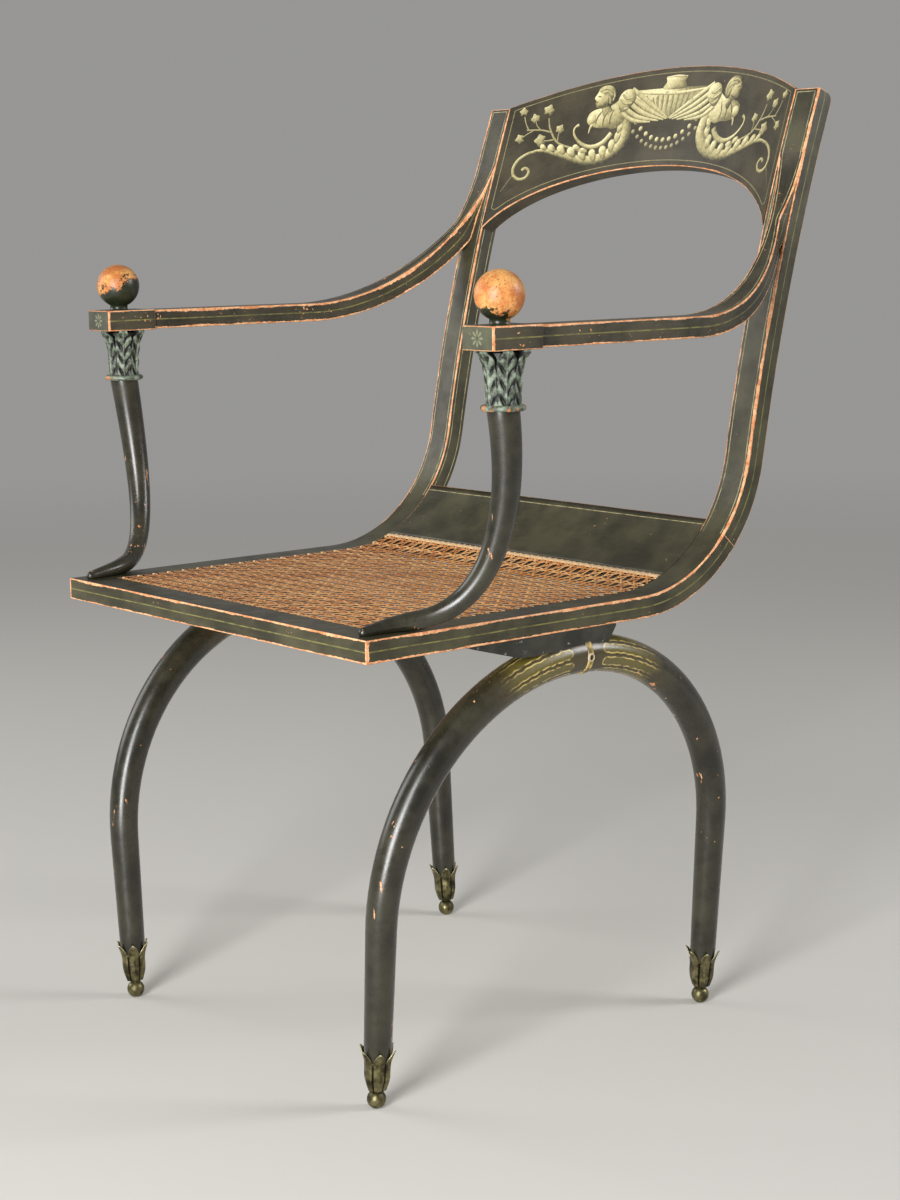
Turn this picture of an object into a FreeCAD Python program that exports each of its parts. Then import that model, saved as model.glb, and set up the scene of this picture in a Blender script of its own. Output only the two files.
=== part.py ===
import FreeCAD, Part
import math
import os
import re

import Sketcher

# Painted open armchair with horn legs, in millimetres.
# X is across the chair, the sitter faces -Y, Z is up and the floor is at zero.
# The origin lies on the floor under the middle of the chair's overall box.

Vector = FreeCAD.Vector
Placement = FreeCAD.Placement
Rotation = FreeCAD.Rotation

doc = FreeCAD.newDocument("armchair")
sizes = doc.addObject("Spreadsheet::Sheet", "sizes")

# Driving dimensions: name, value and what it measures.
# A distance from the front edge runs back along Y from the face of the front rail.
driving = [
    ("front_reach", 305.9, "origin to the face of the front rail"),
    ("seat_height", 416.6, "floor to the top of the seat rails"),
    ("half_width", 231.0, "middle to the outer face of a side rail"),
    ("frame_thickness", 20.0, "rails and stiles, face to back"),
    ("stile_width", 30.6, "stiles and side rails across"),
    ("cane_ledge", 12.0, "ledge inside the rails that carries the cane"),
    ("cane_thickness", 2.4, "woven cane"),
    ("cane_bar", 7.0, "width of a strand group between two gaps of the cane"),
    ("cane_gap_columns", 18, "gaps of the cane across"),
    ("cane_gap_rows", 16, "gaps of the cane front to back"),
    ("front_rail_face", 34.0, "top face of the front rail, front to back"),
    ("rail_tenon_length", 20.0, "front rail tenon"),
    ("rail_tenon_width", 22.0, "front rail tenon, front to back"),
    ("rail_tenon_height", 7.0, "front rail tenon"),
    ("bend_start", 314.0, "front edge to where the side rail turns up"),
    ("bend_radius", 140.0, "upper face of the side rail at the turn"),
    ("bend_angle", 80.0, "degrees that the rail turns up"),
    ("sweep_radius", 1900.0, "face of the stile, swept back"),
    ("sweep_angle", 10.5, "degrees that the stile sweeps back"),
    ("splice_angle", 48.0, "degrees round the turn to the rail and stile splice"),
    ("stile_top_round", 8.0, "back corner at the top of a stile"),
    ("board_front_angle", 22.7, "degrees round the turn to the seat board"),
    ("board_top_angle", 53.6, "degrees round the turn to the top of the seat board"),
    ("board_thickness", 14.0, "seat board"),
    ("dowel_radius", 4.0, "hidden dowels"),
    ("dowel_depth", 14.0, "hidden dowels, into each piece"),
    ("crest_recline_angle", 19.0, "lean of the crest in degrees"),
    ("crest_radius", 530.0, "hollow front face of the crest"),
    ("crest_thickness", 16.0, "crest board"),
    ("crest_height", 105.0, "crest at its middle"),
    ("crest_shoulder", 1.5, "crest corner above the stile's front edge"),
    ("crest_top_radius", 440.0, "arched top edge of the crest"),
    ("crest_arch_half_width", 212.0, "half width of the arch under the crest"),
    ("crest_arch_rise", 114.0, "half height of the arch under the crest"),
    ("crest_dowel_inset", 10.0, "front face of the crest to its dowels"),
    ("crest_dowel_drop", 36.0, "corner of the crest to its upper dowel"),
    ("crest_dowel_pitch", 48.0, "between the two dowels of one crest end"),
    ("arm_height", 667.1, "floor to the top of an arm"),
    ("arm_half_span", 284.7, "middle to the centre of an arm"),
    ("arm_width", 31.0, "arm across"),
    ("arm_thickness", 18.5, "arm, top to bottom"),
    ("arm_radius", 212.0, "top of the arm where it sweeps up"),
    ("arm_flare_start", 271.0, "front edge to where the arm turns inwards"),
    ("arm_merge", 490.0, "front edge to where the arm's outer face meets the stile's"),
    ("arm_splice_angle", 24.0, "degrees up the sweep to the splice of the arm"),
    ("arm_tip_angle", 6.0, "degrees that the arm stops short of the stile's face"),
    ("block_width", 38.0, "square block at the arm's end"),
    ("block_nose", 24.0, "square block in front of the ball's axis"),
    ("block_tail", 30.0, "square block behind the ball's axis"),
    ("block_height", 20.0, "square block"),
    ("block_proud", 0.7, "block above the arm"),
    ("block_setback", 99.2, "front edge to the ball's axis"),
    ("finial_radius", 20.7, "ball on the block"),
    ("finial_neck_radius", 8.5, "neck under the ball"),
    ("finial_neck_height", 4.6, "neck under the ball"),
    ("tenon_radius", 6.0, "turned tenons of the ball and of the arm support"),
    ("finial_tenon_length", 9.0, "ball tenon in the block"),
    ("support_tenon_length", 8.0, "arm support tenon in the block"),
    ("capital_height", 49.0, "carved capital under the block"),
    ("capital_top_radius", 16.5, "bell of the capital at the block"),
    ("capital_neck_radius", 13.6, "bell of the capital at its ring"),
    ("capital_ring_radius", 17.8, "ring of the capital"),
    ("capital_ring_height", 5.0, "ring of the capital"),
    ("capital_bell_curve", 196.0, "hollow of the bell, as a radius"),
    ("leaf_thickness", 2.2, "carved leaf of the capital"),
    ("leaf_curl", 3.6, "how far a leaf tip stands out"),
    ("leaf_angle", 46.0, "degrees that one leaf spans"),
    ("leaf_curve", 147.0, "hollow of a leaf's outer face, as a radius"),
    ("leaf_number", 6, "leaves round the capital"),
    ("support_radius", 13.6, "arm support under its capital"),
    ("support_heel_radius", 10.4, "arm support where it turns forward"),
    ("support_toe_radius", 5.8, "arm support at its toe"),
    ("support_belly", 9.0, "arm support behind its capital"),
    ("support_heel_setback", 62.0, "front edge to the turn of the arm support"),
    ("support_heel_height", 13.6, "axis of the arm support over the rail at the turn"),
    ("support_toe_setback", 13.0, "front edge to the toe of the arm support"),
    ("support_toe_height", 2.6, "axis of the arm support over the rail at the toe"),
    ("support_heel_inset", 9.0, "outer face of the rail to the axis at the turn"),
    ("support_toe_inset", 13.0, "outer face of the rail to the axis at the toe"),
    ("support_instep_drop", 2.6, "axis below a straight line from the turn to the toe"),
    ("leg_front", 32.5, "front edge to the axis of a front leg"),
    ("leg_back", 432.0, "front edge to the axis of a back leg"),
    ("arch_crown", 245.0, "front edge to the crown of the leg arch"),
    ("arch_half_span", 217.0, "middle to the axis at the crown"),
    ("leg_cant_angle", 4.0, "degrees that the arch leans in towards its feet"),
    ("collar_setback", 2.0, "crown to the butt joint of the horns"),
    ("horn_radius", 17.2, "leg horn at the butt joint"),
    ("horn_ankle_radius", 12.2, "leg horn above its shoe"),
    ("horn_taper_power", 1.15, "power of the horn's taper along its length"),
    ("horn_peg_radius", 7.4, "peg of the leg inside its shoe"),
    ("collar_length", 7.0, "ring over the butt joint"),
    ("collar_depth", 1.0, "ring over the butt joint, above the horn"),
    ("joint_dowel_radius", 6.0, "dowel inside the butt joint"),
    ("joint_dowel_depth", 20.0, "dowel inside the butt joint, into each horn"),
    ("saddle_front", 132.0, "saddle block in front of the crown"),
    ("saddle_back", 36.0, "saddle block behind the crown"),
    ("saddle_front_slope", 55.0, "length of the slope under the front end of the saddle block"),
    ("saddle_back_slope", 10.0, "length of the slope under the back end of the saddle block"),
    ("saddle_end", 2.0, "saddle block at its two ends, below the rail"),
    ("saddle_width", 27.0, "saddle block across"),
    ("saddle_drop", 17.0, "saddle block below the rail"),
    ("saddle_crown", 7.6, "saddle block between the rail and the crown of the arch"),
    ("arch_peg_radius", 5.0, "upright pegs through horn, saddle and rail"),
    ("arch_peg_spacing", 44.0, "upright pegs of one arch, front to back"),
    ("arch_peg_depth", 12.0, "upright pegs, into the rail"),
    ("foot_radius", 8.4, "ball foot"),
    ("foot_flat", 0.5, "flat under the ball foot"),
    ("foot_neck_radius", 5.0, "neck over the ball foot"),
    ("foot_neck_height", 2.5, "neck over the ball foot"),
    ("shoe_height", 24.0, "cup of the brass shoe"),
    ("shoe_base_radius", 8.8, "cup of the brass shoe at the bottom"),
    ("shoe_top_radius", 10.6, "cup of the brass shoe at the top"),
    ("shoe_cup_curve", 48.0, "belly of the cup, as a radius"),
    ("shoe_leaf_root", 13.2, "bottom of the cup to the root of its leaves"),
    ("shoe_leaf_curve", 60.0, "hollow of a leaf of the shoe, as a radius"),
    ("shoe_floor", 4.0, "floor of the brass shoe"),
    ("shoe_leaf_gap", 0.3, "leaf of the shoe clear of the leg"),
    ("shoe_leaf_height", 14.0, "leaf above the cup of the shoe"),
    ("shoe_leaf_thickness", 1.4, "leaf of the shoe"),
    ("shoe_leaf_flare", 3.4, "how far a leaf tip of the shoe stands out"),
    ("shoe_leaf_angle", 46.0, "degrees that one leaf of the shoe spans"),
    ("shoe_leaf_number", 6, "leaves round the shoe"),
]

# Lengths that follow from the driving dimensions.
derived = [
    ("inner_half_width", "half_width - stile_width"),
    ("bend_end_depth", "bend_start + bend_radius * sin(bend_angle)"),
    ("bend_end_height", "seat_height + bend_radius * (1 - cos(bend_angle))"),
    ("stile_lean_angle", "bend_angle - sweep_angle"),
    ("stile_top_depth", "bend_end_depth + sweep_radius * (sin(bend_angle) - sin(stile_lean_angle))"),
    ("stile_top_height", "bend_end_height + sweep_radius * (cos(stile_lean_angle) - cos(bend_angle))"),
    ("fork_cosine", "(arm_height + arm_radius - bend_end_height + sweep_radius * cos(bend_angle))"
                    " / (arm_radius + sweep_radius)"),
    ("fork_angle", "acos(fork_cosine) / 1deg"),
    ("fork_depth", "bend_end_depth + sweep_radius * (sin(bend_angle) - sin(fork_angle))"),
    ("arm_bend_start", "fork_depth - arm_radius * sin(fork_angle)"),
    ("arm_end_angle", "fork_angle - arm_tip_angle"),
    ("flare_length", "fork_depth - arm_flare_start"),
    ("flare_drop", "arm_half_span - arm_width / 2 - inner_half_width"),
    ("inner_flare_radius", "(flare_length ^ 2 + flare_drop ^ 2) / (2 * flare_drop)"),
    ("merge_length", "arm_merge - arm_flare_start"),
    ("merge_drop", "arm_half_span + arm_width / 2 - half_width"),
    ("outer_flare_radius", "(merge_length ^ 2 + merge_drop ^ 2) / (2 * merge_drop)"),
    ("block_top", "arm_height + block_proud"),
    ("block_bottom", "block_top - block_height"),
    ("capital_bottom", "block_bottom - capital_height"),
    ("rail_underside", "seat_height - frame_thickness"),
    ("arch_height", "rail_underside - saddle_crown - horn_radius"),
    ("front_arch_radius", "arch_crown - leg_front"),
    ("back_arch_radius", "leg_back - arch_crown"),
    ("horn_peg_length", "shoe_height - shoe_floor"),
]

aliases = [row[0] for row in driving] + [row[0] for row in derived]
alias_pattern = re.compile(r"\b(" + "|".join(aliases) + r")\b")


def fill_sheet():
    row = 1
    for name, number, meaning in driving:
        sizes.set("A%d" % row, meaning)
        sizes.set("B%d" % row, str(number))
        sizes.setAlias("B%d" % row, name)
        row += 1
    for name, formula in derived:
        sizes.set("A%d" % row, name.replace("_", " "))
        sizes.set("B%d" % row, "=" + formula)
        sizes.setAlias("B%d" % row, name)
        row += 1
    doc.recompute()


fill_sheet()


def bound(formula):
    return alias_pattern.sub(r"sizes.\1", str(formula))


def value(formula):
    return float(sizes.evalExpression(str(formula)))


def bind(item, **formulas):
    for name, formula in formulas.items():
        item.setExpression(name, bound(formula))


def back(depth):
    # A distance from the front edge as a place along Y.
    return "%s - front_reach" % depth


# Sketches and bodies

def new_body(label):
    body = doc.addObject("PartDesign::Body", label)
    body.Label = label
    return body


def origin_plane(body, role):
    for feature in body.Origin.OriginFeatures:
        if feature.Role == role:
            return feature
    raise ValueError(role)


def arc_between(start, end, radius):
    # The arc under half a circle from start to end, turning left for a positive radius.
    chord = end - start
    middle = (start + end) * 0.5
    rise = math.sqrt(max(radius ** 2 - (chord.Length / 2) ** 2, 0.0))
    left = Vector(-chord.y, chord.x, 0).normalize()
    centre = middle + left * (rise if radius > 0 else -rise)
    first, last = (start, end) if radius > 0 else (end, start)
    angles = [math.atan2(point.y - centre.y, point.x - centre.x) for point in (first, last)]
    circle = Part.Circle(centre, Vector(0, 0, 1), abs(radius))
    return Part.ArcOfCircle(circle, angles[0], angles[1])


def outline(body, name, role, corners, level="0"):
    # A closed outline whose corners are formulas (across, up) or (across, up, radius):
    # the edge that leaves a corner is a line, or an arc of that radius.
    sketch = body.newObject("Sketcher::SketchObject", name)
    sketch.AttachmentSupport = (origin_plane(body, role), [""])
    sketch.MapMode = "FlatFace"
    sketch.setExpression("AttachmentOffset.Base.z", bound(level))
    points = [Vector(value(corner[0]), value(corner[1]), 0) for corner in corners]
    ends = []
    for index, corner in enumerate(corners):
        start = points[index]
        end = points[(index + 1) % len(points)]
        if len(corner) == 3:
            radius = value(corner[2])
            edge = sketch.addGeometry(arc_between(start, end, radius), False)
            ends.append((edge, 1, 2) if radius > 0 else (edge, 2, 1))
        else:
            edge = sketch.addGeometry(Part.LineSegment(start, end), False)
            ends.append((edge, 1, 2))
    for index, (edge, first, last) in enumerate(ends):
        following = ends[(index + 1) % len(ends)]
        sketch.addConstraint(Sketcher.Constraint("Coincident", edge, last, following[0], following[1]))
    for index, (edge, first, last) in enumerate(ends):
        across, up = corners[index][0], corners[index][1]
        place = points[index]
        for kind, formula, number in (("DistanceX", across, place.x), ("DistanceY", up, place.y)):
            rule = sketch.addConstraint(Sketcher.Constraint(kind, -1, 1, edge, first, number))
            sketch.setExpression("Constraints[%d]" % rule, bound(formula))
        if len(corners[index]) == 3:
            radius = corners[index][2]
            rule = sketch.addConstraint(Sketcher.Constraint("Radius", edge, abs(value(radius))))
            sketch.setExpression("Constraints[%d]" % rule, bound("abs(%s)" % radius))
    return sketch


def feature(body, kind, name, sketch, **formulas):
    item = body.newObject("PartDesign::" + kind, name)
    item.Profile = sketch
    bind(item, **formulas)
    return item


def pad(body, name, sketch, length):
    item = feature(body, "Pad", name, sketch, Length=length)
    doc.recompute()
    return item


def pocket(body, name, sketch, length, reverse=False):
    before = body.Shape.Volume
    item = feature(body, "Pocket", name, sketch, Length=length)
    item.Reversed = reverse
    doc.recompute()
    if not body.Shape.Volume < before:
        raise ValueError("%s cuts nothing from %s" % (name, body.Label))
    return item


def turned(body, name, sketch, angle="360"):
    # A solid of revolution about the sketch's upright axis.
    item = body.newObject("PartDesign::Revolution", name)
    item.Profile = sketch
    item.ReferenceAxis = (sketch, ["V_Axis"])
    item.Midplane = True
    bind(item, Angle=angle)
    doc.recompute()
    return item


def ring_pattern(body, name, original, axis_sketch, count):
    item = body.newObject("PartDesign::PolarPattern", name)
    item.Originals = [original]
    item.Axis = (axis_sketch, ["V_Axis"])
    item.Angle = 360.0
    bind(item, Occurrences=count)
    body.Tip = item
    doc.recompute()
    return item


def mirrored(source, label):
    item = doc.addObject("Part::Mirroring", label)
    item.Label = label
    item.Source = source
    item.Base = Vector(0, 0, 0)
    item.Normal = Vector(1, 0, 0)
    return item


def made(label, shape):
    item = doc.addObject("Part::Feature", label)
    item.Label = label
    item.Shape = shape
    return item


def cut_from(label, base, tools):
    # The base solid less each tool.
    item = base
    for number, tool in enumerate(tools):
        last = number == len(tools) - 1
        name = label if last else "%s_cut_%d" % (label, number + 1)
        result = doc.addObject("Part::Cut", name)
        result.Base = item
        result.Tool = tool
        item = result
    item.Label = label
    return item


nodes = []


def keep(*items):
    nodes.extend(items)


# Hidden dowels, placed by their middle and direction

def dowel(middle, direction, radius, half_length):
    start = middle - direction * half_length
    return Part.makeCylinder(radius, 2 * half_length, start, direction)


dowel_radius = value("dowel_radius")
dowel_depth = value("dowel_depth")


# Side profile: the upper face of a side rail and of its stile

def face_point(turn, offset="0"):
    # A place on the turn, at an angle from its start and so far below the upper face.
    across = "bend_start - front_reach + (bend_radius + %s) * sin(%s)" % (offset, turn)
    up = "seat_height + bend_radius - (bend_radius + %s) * cos(%s)" % (offset, turn)
    return across, up


def swept_point(lean, offset="0"):
    # A place on the swept stile, by its lean from level.
    centre = "bend_end_depth - front_reach + sweep_radius * sin(bend_angle)"
    across = "%s - (sweep_radius - %s) * sin(%s)" % (centre, offset, lean)
    up = "bend_end_height - sweep_radius * cos(bend_angle) + (sweep_radius - %s) * cos(%s)" % (offset, lean)
    return across, up


def rail_band(front, end_turn, top_drop, bottom_drop):
    # The outline of a member that runs level and then round the turn.
    top = "seat_height - %s" % top_drop
    bottom = "seat_height - %s" % bottom_drop
    bend = back("bend_start")
    return [
        (back(front), top),
        (bend, top, "bend_radius + %s" % top_drop),
        face_point(end_turn, top_drop),
        face_point(end_turn, bottom_drop) + ("-(bend_radius + %s)" % bottom_drop,),
        (bend, bottom),
        (back(front), bottom),
    ]


def turn_band(start_turn, end_turn, top_drop, bottom_drop):
    # The outline of a member that lies only on the turn.
    return [
        face_point(start_turn, top_drop) + ("bend_radius + %s" % top_drop,),
        face_point(end_turn, top_drop),
        face_point(end_turn, bottom_drop) + ("-(bend_radius + %s)" % bottom_drop,),
        face_point(start_turn, bottom_drop),
    ]


def place_on_turn(turn, drop, across):
    along, up = face_point(turn, drop)
    return Vector(across, value(along), value(up))


def make_side_rail():
    body = new_body("seat_side_rail_blank")
    side = outline(body, "rail_side", "YZ_Plane",
                   rail_band("0", "splice_angle", "0", "frame_thickness"), "inner_half_width")
    pad(body, "rail_bar", side, "stile_width")
    ledge = outline(body, "rail_ledge", "YZ_Plane",
                    rail_band("front_rail_face + cane_ledge", "board_front_angle", "cane_thickness",
                              "frame_thickness"), "inner_half_width - cane_ledge")
    pad(body, "rail_ledge_bar", ledge, "cane_ledge")
    tenon_bottom = "seat_height - frame_thickness / 2 - rail_tenon_height / 2"
    mortise = outline(body, "rail_mortise", "YZ_Plane", [
        (back("front_rail_face / 2 - rail_tenon_width / 2"), tenon_bottom),
        (back("front_rail_face / 2 + rail_tenon_width / 2"), tenon_bottom),
        (back("front_rail_face / 2 + rail_tenon_width / 2"), tenon_bottom + " + rail_tenon_height"),
        (back("front_rail_face / 2 - rail_tenon_width / 2"), tenon_bottom + " + rail_tenon_height"),
    ], "inner_half_width")
    pocket(body, "rail_mortise_cut", mortise, "rail_tenon_length", True)
    return body


def make_stile():
    body = new_body("back_stile_blank")
    top_turn = "stile_lean_angle"
    side = outline(body, "stile_side", "YZ_Plane", [
        face_point("splice_angle") + ("bend_radius",),
        face_point("bend_angle") + ("-sweep_radius",),
        swept_point(top_turn),
        swept_point(top_turn, "frame_thickness") + ("sweep_radius - frame_thickness",),
        face_point("bend_angle", "frame_thickness") + ("-(bend_radius + frame_thickness)",),
        face_point("splice_angle", "frame_thickness"),
    ], "inner_half_width")
    bar = pad(body, "stile_bar", side, "stile_width")
    top_back = swept_point(top_turn, "frame_thickness")
    corner = Vector(0, value(top_back[0]), value(top_back[1]))
    for number, edge in enumerate(bar.Shape.Edges):
        middle = edge.CenterOfMass
        if abs(middle.y - corner.y) < 0.01 and abs(middle.z - corner.z) < 0.01:
            rounded = body.newObject("PartDesign::Fillet", "stile_top_corner")
            rounded.Base = (bar, ["Edge%d" % (number + 1)])
            bind(rounded, Radius="stile_top_round")
    doc.recompute()
    return body


def make_front_rail():
    body = new_body("front_seat_rail")
    bottom = "seat_height - frame_thickness"
    ledge_top = "seat_height - cane_thickness"
    side = outline(body, "front_rail_side", "YZ_Plane", [
        (back("0"), bottom),
        (back("front_rail_face + cane_ledge"), bottom),
        (back("front_rail_face + cane_ledge"), ledge_top),
        (back("front_rail_face"), ledge_top),
        (back("front_rail_face"), "seat_height"),
        (back("0"), "seat_height"),
    ], "-inner_half_width")
    pad(body, "front_rail_bar", side, "2 * inner_half_width")
    tenon_bottom = "seat_height - frame_thickness / 2 - rail_tenon_height / 2"
    tenon = outline(body, "front_rail_tenons", "YZ_Plane", [
        (back("front_rail_face / 2 - rail_tenon_width / 2"), tenon_bottom),
        (back("front_rail_face / 2 + rail_tenon_width / 2"), tenon_bottom),
        (back("front_rail_face / 2 + rail_tenon_width / 2"), tenon_bottom + " + rail_tenon_height"),
        (back("front_rail_face / 2 - rail_tenon_width / 2"), tenon_bottom + " + rail_tenon_height"),
    ], "-inner_half_width - rail_tenon_length")
    pad(body, "front_rail_tenon_bars", tenon, "2 * inner_half_width + 2 * rail_tenon_length")
    return body


def make_seat_board():
    body = new_body("back_seat_board_blank")
    side = outline(body, "board_side", "YZ_Plane",
                   turn_band("board_front_angle", "board_top_angle", "0", "board_thickness"),
                   "-inner_half_width")
    pad(body, "board_bar", side, "2 * inner_half_width")
    ledge_turn = "board_front_angle - cane_ledge / bend_radius * 180 / pi"
    ledge = outline(body, "board_ledge", "YZ_Plane",
                    turn_band("(%s)" % ledge_turn, "board_front_angle", "cane_thickness", "board_thickness"),
                    "-inner_half_width + cane_ledge")
    pad(body, "board_ledge_bar", ledge, "2 * inner_half_width - 2 * cane_ledge")
    return body


def make_cane():
    # One holed face across the seat, trimmed to the bent sheet of the cane.
    body = new_body("cane_sheet")
    sheet = outline(body, "cane_side", "YZ_Plane",
                    rail_band("front_rail_face", "board_front_angle", "0", "cane_thickness"),
                    "-inner_half_width")
    pad(body, "cane_sheet_bar", sheet, "2 * inner_half_width")
    box = body.Shape.BoundBox
    columns = int(value("cane_gap_columns"))
    rows = int(value("cane_gap_rows"))
    bar = value("cane_bar")
    margin = value("cane_ledge")
    width = (box.XLength - 2 * margin - bar) / columns
    length = (box.YLength - 2 * margin - bar) / rows
    corner = Vector(box.XMin + margin + bar, box.YMin + margin + bar, 0)
    edge_corner = Vector(box.XMin - bar, box.YMin - bar, 0)
    edge = Part.makePlane(box.XLength + 2 * bar, box.YLength + 2 * bar, edge_corner)
    gaps = []
    for column in range(columns):
        for row in range(rows):
            place = corner + Vector(column * width, row * length, 0)
            gaps.append(Part.makePlane(width - bar, length - bar, place).OuterWire)
    net = Part.makeFace([edge.OuterWire] + gaps, "Part::FaceMakerBullseye")
    grid = made("cane_grid", net.extrude(Vector(0, 0, 2 * box.ZMax)))
    panel = doc.addObject("Part::Common", "cane_seat")
    panel.Base = body
    panel.Tool = grid
    panel.Label = "cane_seat"
    return panel


# Arms: sawn to an outline from the side and to another from above

def arm_level(turn, offset="0"):
    across = "arm_bend_start - front_reach + (arm_radius + %s) * sin(%s)" % (offset, turn)
    up = "arm_height + arm_radius - (arm_radius + %s) * cos(%s)" % (offset, turn)
    return across, up


def arm_side_bar(body):
    start = back("block_setback + block_tail")
    bend = back("arm_bend_start")
    return outline(body, "arm_bar_side", "YZ_Plane", [
        (start, "arm_height"),
        (bend, "arm_height", "arm_radius"),
        arm_level("arm_splice_angle"),
        arm_level("arm_splice_angle", "arm_thickness") + ("-(arm_radius + arm_thickness)",),
        (bend, "arm_height - arm_thickness"),
        (start, "arm_height - arm_thickness"),
    ], "inner_half_width - arm_width")


def arm_side_elbow(body):
    return outline(body, "arm_elbow_side", "YZ_Plane", [
        arm_level("arm_splice_angle") + ("arm_radius",),
        arm_level("arm_end_angle"),
        arm_level("arm_end_angle", "arm_thickness") + ("-(arm_radius + arm_thickness)",),
        arm_level("arm_splice_angle", "arm_thickness"),
    ], "inner_half_width - arm_width")


def arm_plan(body, name):
    # Seen from above: straight from the block, then narrowing and flaring in to the stile.
    start = back("block_setback")
    flare = back("arm_flare_start")
    end = back("fork_depth + frame_thickness")
    reach = "flare_length + frame_thickness"
    centre = "arm_half_span - arm_width / 2 - inner_flare_radius"
    inner_end = "%s + sqrt(inner_flare_radius ^ 2 - (%s) ^ 2)" % (centre, reach)
    return outline(body, name, "XY_Plane", [
        ("arm_half_span + arm_width / 2", start),
        ("arm_half_span + arm_width / 2", flare, "outer_flare_radius"),
        ("half_width", back("arm_merge")),
        ("half_width", end),
        (inner_end, end, "-inner_flare_radius"),
        ("arm_half_span - arm_width / 2", flare),
        ("arm_half_span - arm_width / 2", start),
    ], "arm_height - arm_thickness * 2")


def sawn_arm(name, side_maker):
    side_body = new_body(name + "_side")
    pad(side_body, name + "_side_bar", side_maker(side_body), "arm_half_span + 2 * arm_width")
    plan_body = new_body(name + "_plan")
    pad(plan_body, name + "_plan_bar", arm_plan(plan_body, name + "_plan_outline"),
        "stile_top_height - arm_height + arm_thickness * 2")
    item = doc.addObject("Part::Common", name + "_blank")
    item.Base = side_body
    item.Tool = plan_body
    return item


def arm_middle(depth):
    # The middle of the flaring arm and its slope across, at a distance from the front edge.
    run = depth - value("arm_flare_start")
    across = value("arm_half_span")
    slope = 0.0
    for radius in (value("inner_flare_radius"), value("outer_flare_radius")):
        across -= (radius - math.sqrt(radius ** 2 - run ** 2)) / 2
        slope -= math.tan(math.asin(run / radius)) / 2
    return across, slope


# Block, ball and capital at the arm's end, all on one upright axis

arm_axis = Vector(value("arm_half_span"), value(back("block_setback")), 0)


def make_block():
    body = new_body("arm_block_blank")
    plan = outline(body, "block_plan", "XY_Plane", [
        ("arm_half_span - block_width / 2", back("block_setback - block_nose")),
        ("arm_half_span + block_width / 2", back("block_setback - block_nose")),
        ("arm_half_span + block_width / 2", back("block_setback + block_tail")),
        ("arm_half_span - block_width / 2", back("block_setback + block_tail")),
    ], "block_bottom")
    pad(body, "block_bar", plan, "block_height")
    return body


def upright(body, height):
    body.Placement = Placement(arm_axis + Vector(0, 0, height), Rotation())
    return body


def make_finial():
    body = new_body("ball_finial_right")
    ball_centre = "finial_neck_height + sqrt(finial_radius ^ 2 - finial_neck_radius ^ 2)"
    profile = outline(body, "finial_profile", "XZ_Plane", [
        ("0", "-finial_tenon_length"),
        ("tenon_radius", "-finial_tenon_length"),
        ("tenon_radius", "0"),
        ("finial_neck_radius", "0"),
        ("finial_neck_radius", "finial_neck_height", "finial_radius"),
        ("finial_radius", ball_centre, "finial_radius"),
        ("0", ball_centre + " + finial_radius"),
    ])
    turned(body, "finial_turning", profile)
    return upright(body, value("block_top"))


def make_capital():
    body = new_body("capital_right")
    ring_middle = "capital_ring_height / 2"
    leaf_root = "capital_ring_height"
    profile = outline(body, "capital_profile", "XZ_Plane", [
        ("tenon_radius", "0"),
        ("capital_neck_radius", "0"),
        ("capital_ring_radius - capital_ring_height / 2", "0", "capital_ring_height / 2"),
        ("capital_ring_radius", ring_middle, "capital_ring_height / 2"),
        ("capital_ring_radius - capital_ring_height / 2", "capital_ring_height"),
        ("capital_neck_radius", leaf_root, "-capital_bell_curve"),
        ("capital_top_radius", "capital_height"),
        ("tenon_radius", "capital_height"),
    ])
    turned(body, "capital_bell", profile)
    leaf_top = "capital_height - 2 * leaf_thickness"
    leaf = outline(body, "capital_leaf_profile", "XZ_Plane", [
        ("capital_neck_radius - leaf_thickness", leaf_root),
        ("capital_neck_radius + leaf_thickness / 2", leaf_root, "-leaf_curve"),
        ("capital_top_radius + leaf_thickness", leaf_top + " - 3 * leaf_thickness"),
        ("capital_top_radius + leaf_curl", leaf_top + " - 3 * leaf_thickness", "2 * leaf_thickness"),
        ("capital_top_radius + leaf_curl", leaf_top),
        ("capital_top_radius - leaf_thickness", leaf_top),
    ])
    one_leaf = turned(body, "capital_leaf", leaf, "leaf_angle")
    ring_pattern(body, "capital_leaves", one_leaf, profile, "leaf_number")
    return upright(body, value("capital_bottom"))


# Lofted horns

def frame_circle(point, direction, radius):
    return Part.Wire(Part.makeCircle(radius, point, direction))


# Stations of the arm support between capital and turn, as shares of the whole way:
# how far in, how far forward beyond the belly, how far down, and how far thinned.
support_shares = [
    (0.01, 0.00, 0.19, 0.18),
    (0.14, -0.04, 0.52, 0.45),
    (0.48, 0.36, 0.82, 0.72),
]


def support_stations():
    # Places on the arm support's axis from its capital to its toe, with radii.
    front = value("front_reach")
    rail_top = value("seat_height")
    edge = value("half_width")
    top = arm_axis + Vector(0, 0, value("capital_bottom"))
    heel = Vector(edge - value("support_heel_inset"), value("support_heel_setback") - front,
                  rail_top + value("support_heel_height"))
    toe = Vector(edge - value("support_toe_inset"), value("support_toe_setback") - front,
                 rail_top + value("support_toe_height"))
    way = heel - top
    thick = value("support_radius")
    thin = value("support_heel_radius")
    stations = [(top, thick)]
    for inward, forward, down, thinned in support_shares:
        offset = Vector(way.x * inward, value("support_belly") + way.y * forward, way.z * down)
        stations.append((top + offset, thick + (thin - thick) * thinned))
    stations.append((heel, thin))
    middle = (heel + toe) * 0.5 - Vector(0, 0, value("support_instep_drop"))
    stations.append((middle, (thin + value("support_toe_radius")) / 2))
    stations.append((toe, value("support_toe_radius")))
    return stations


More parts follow.
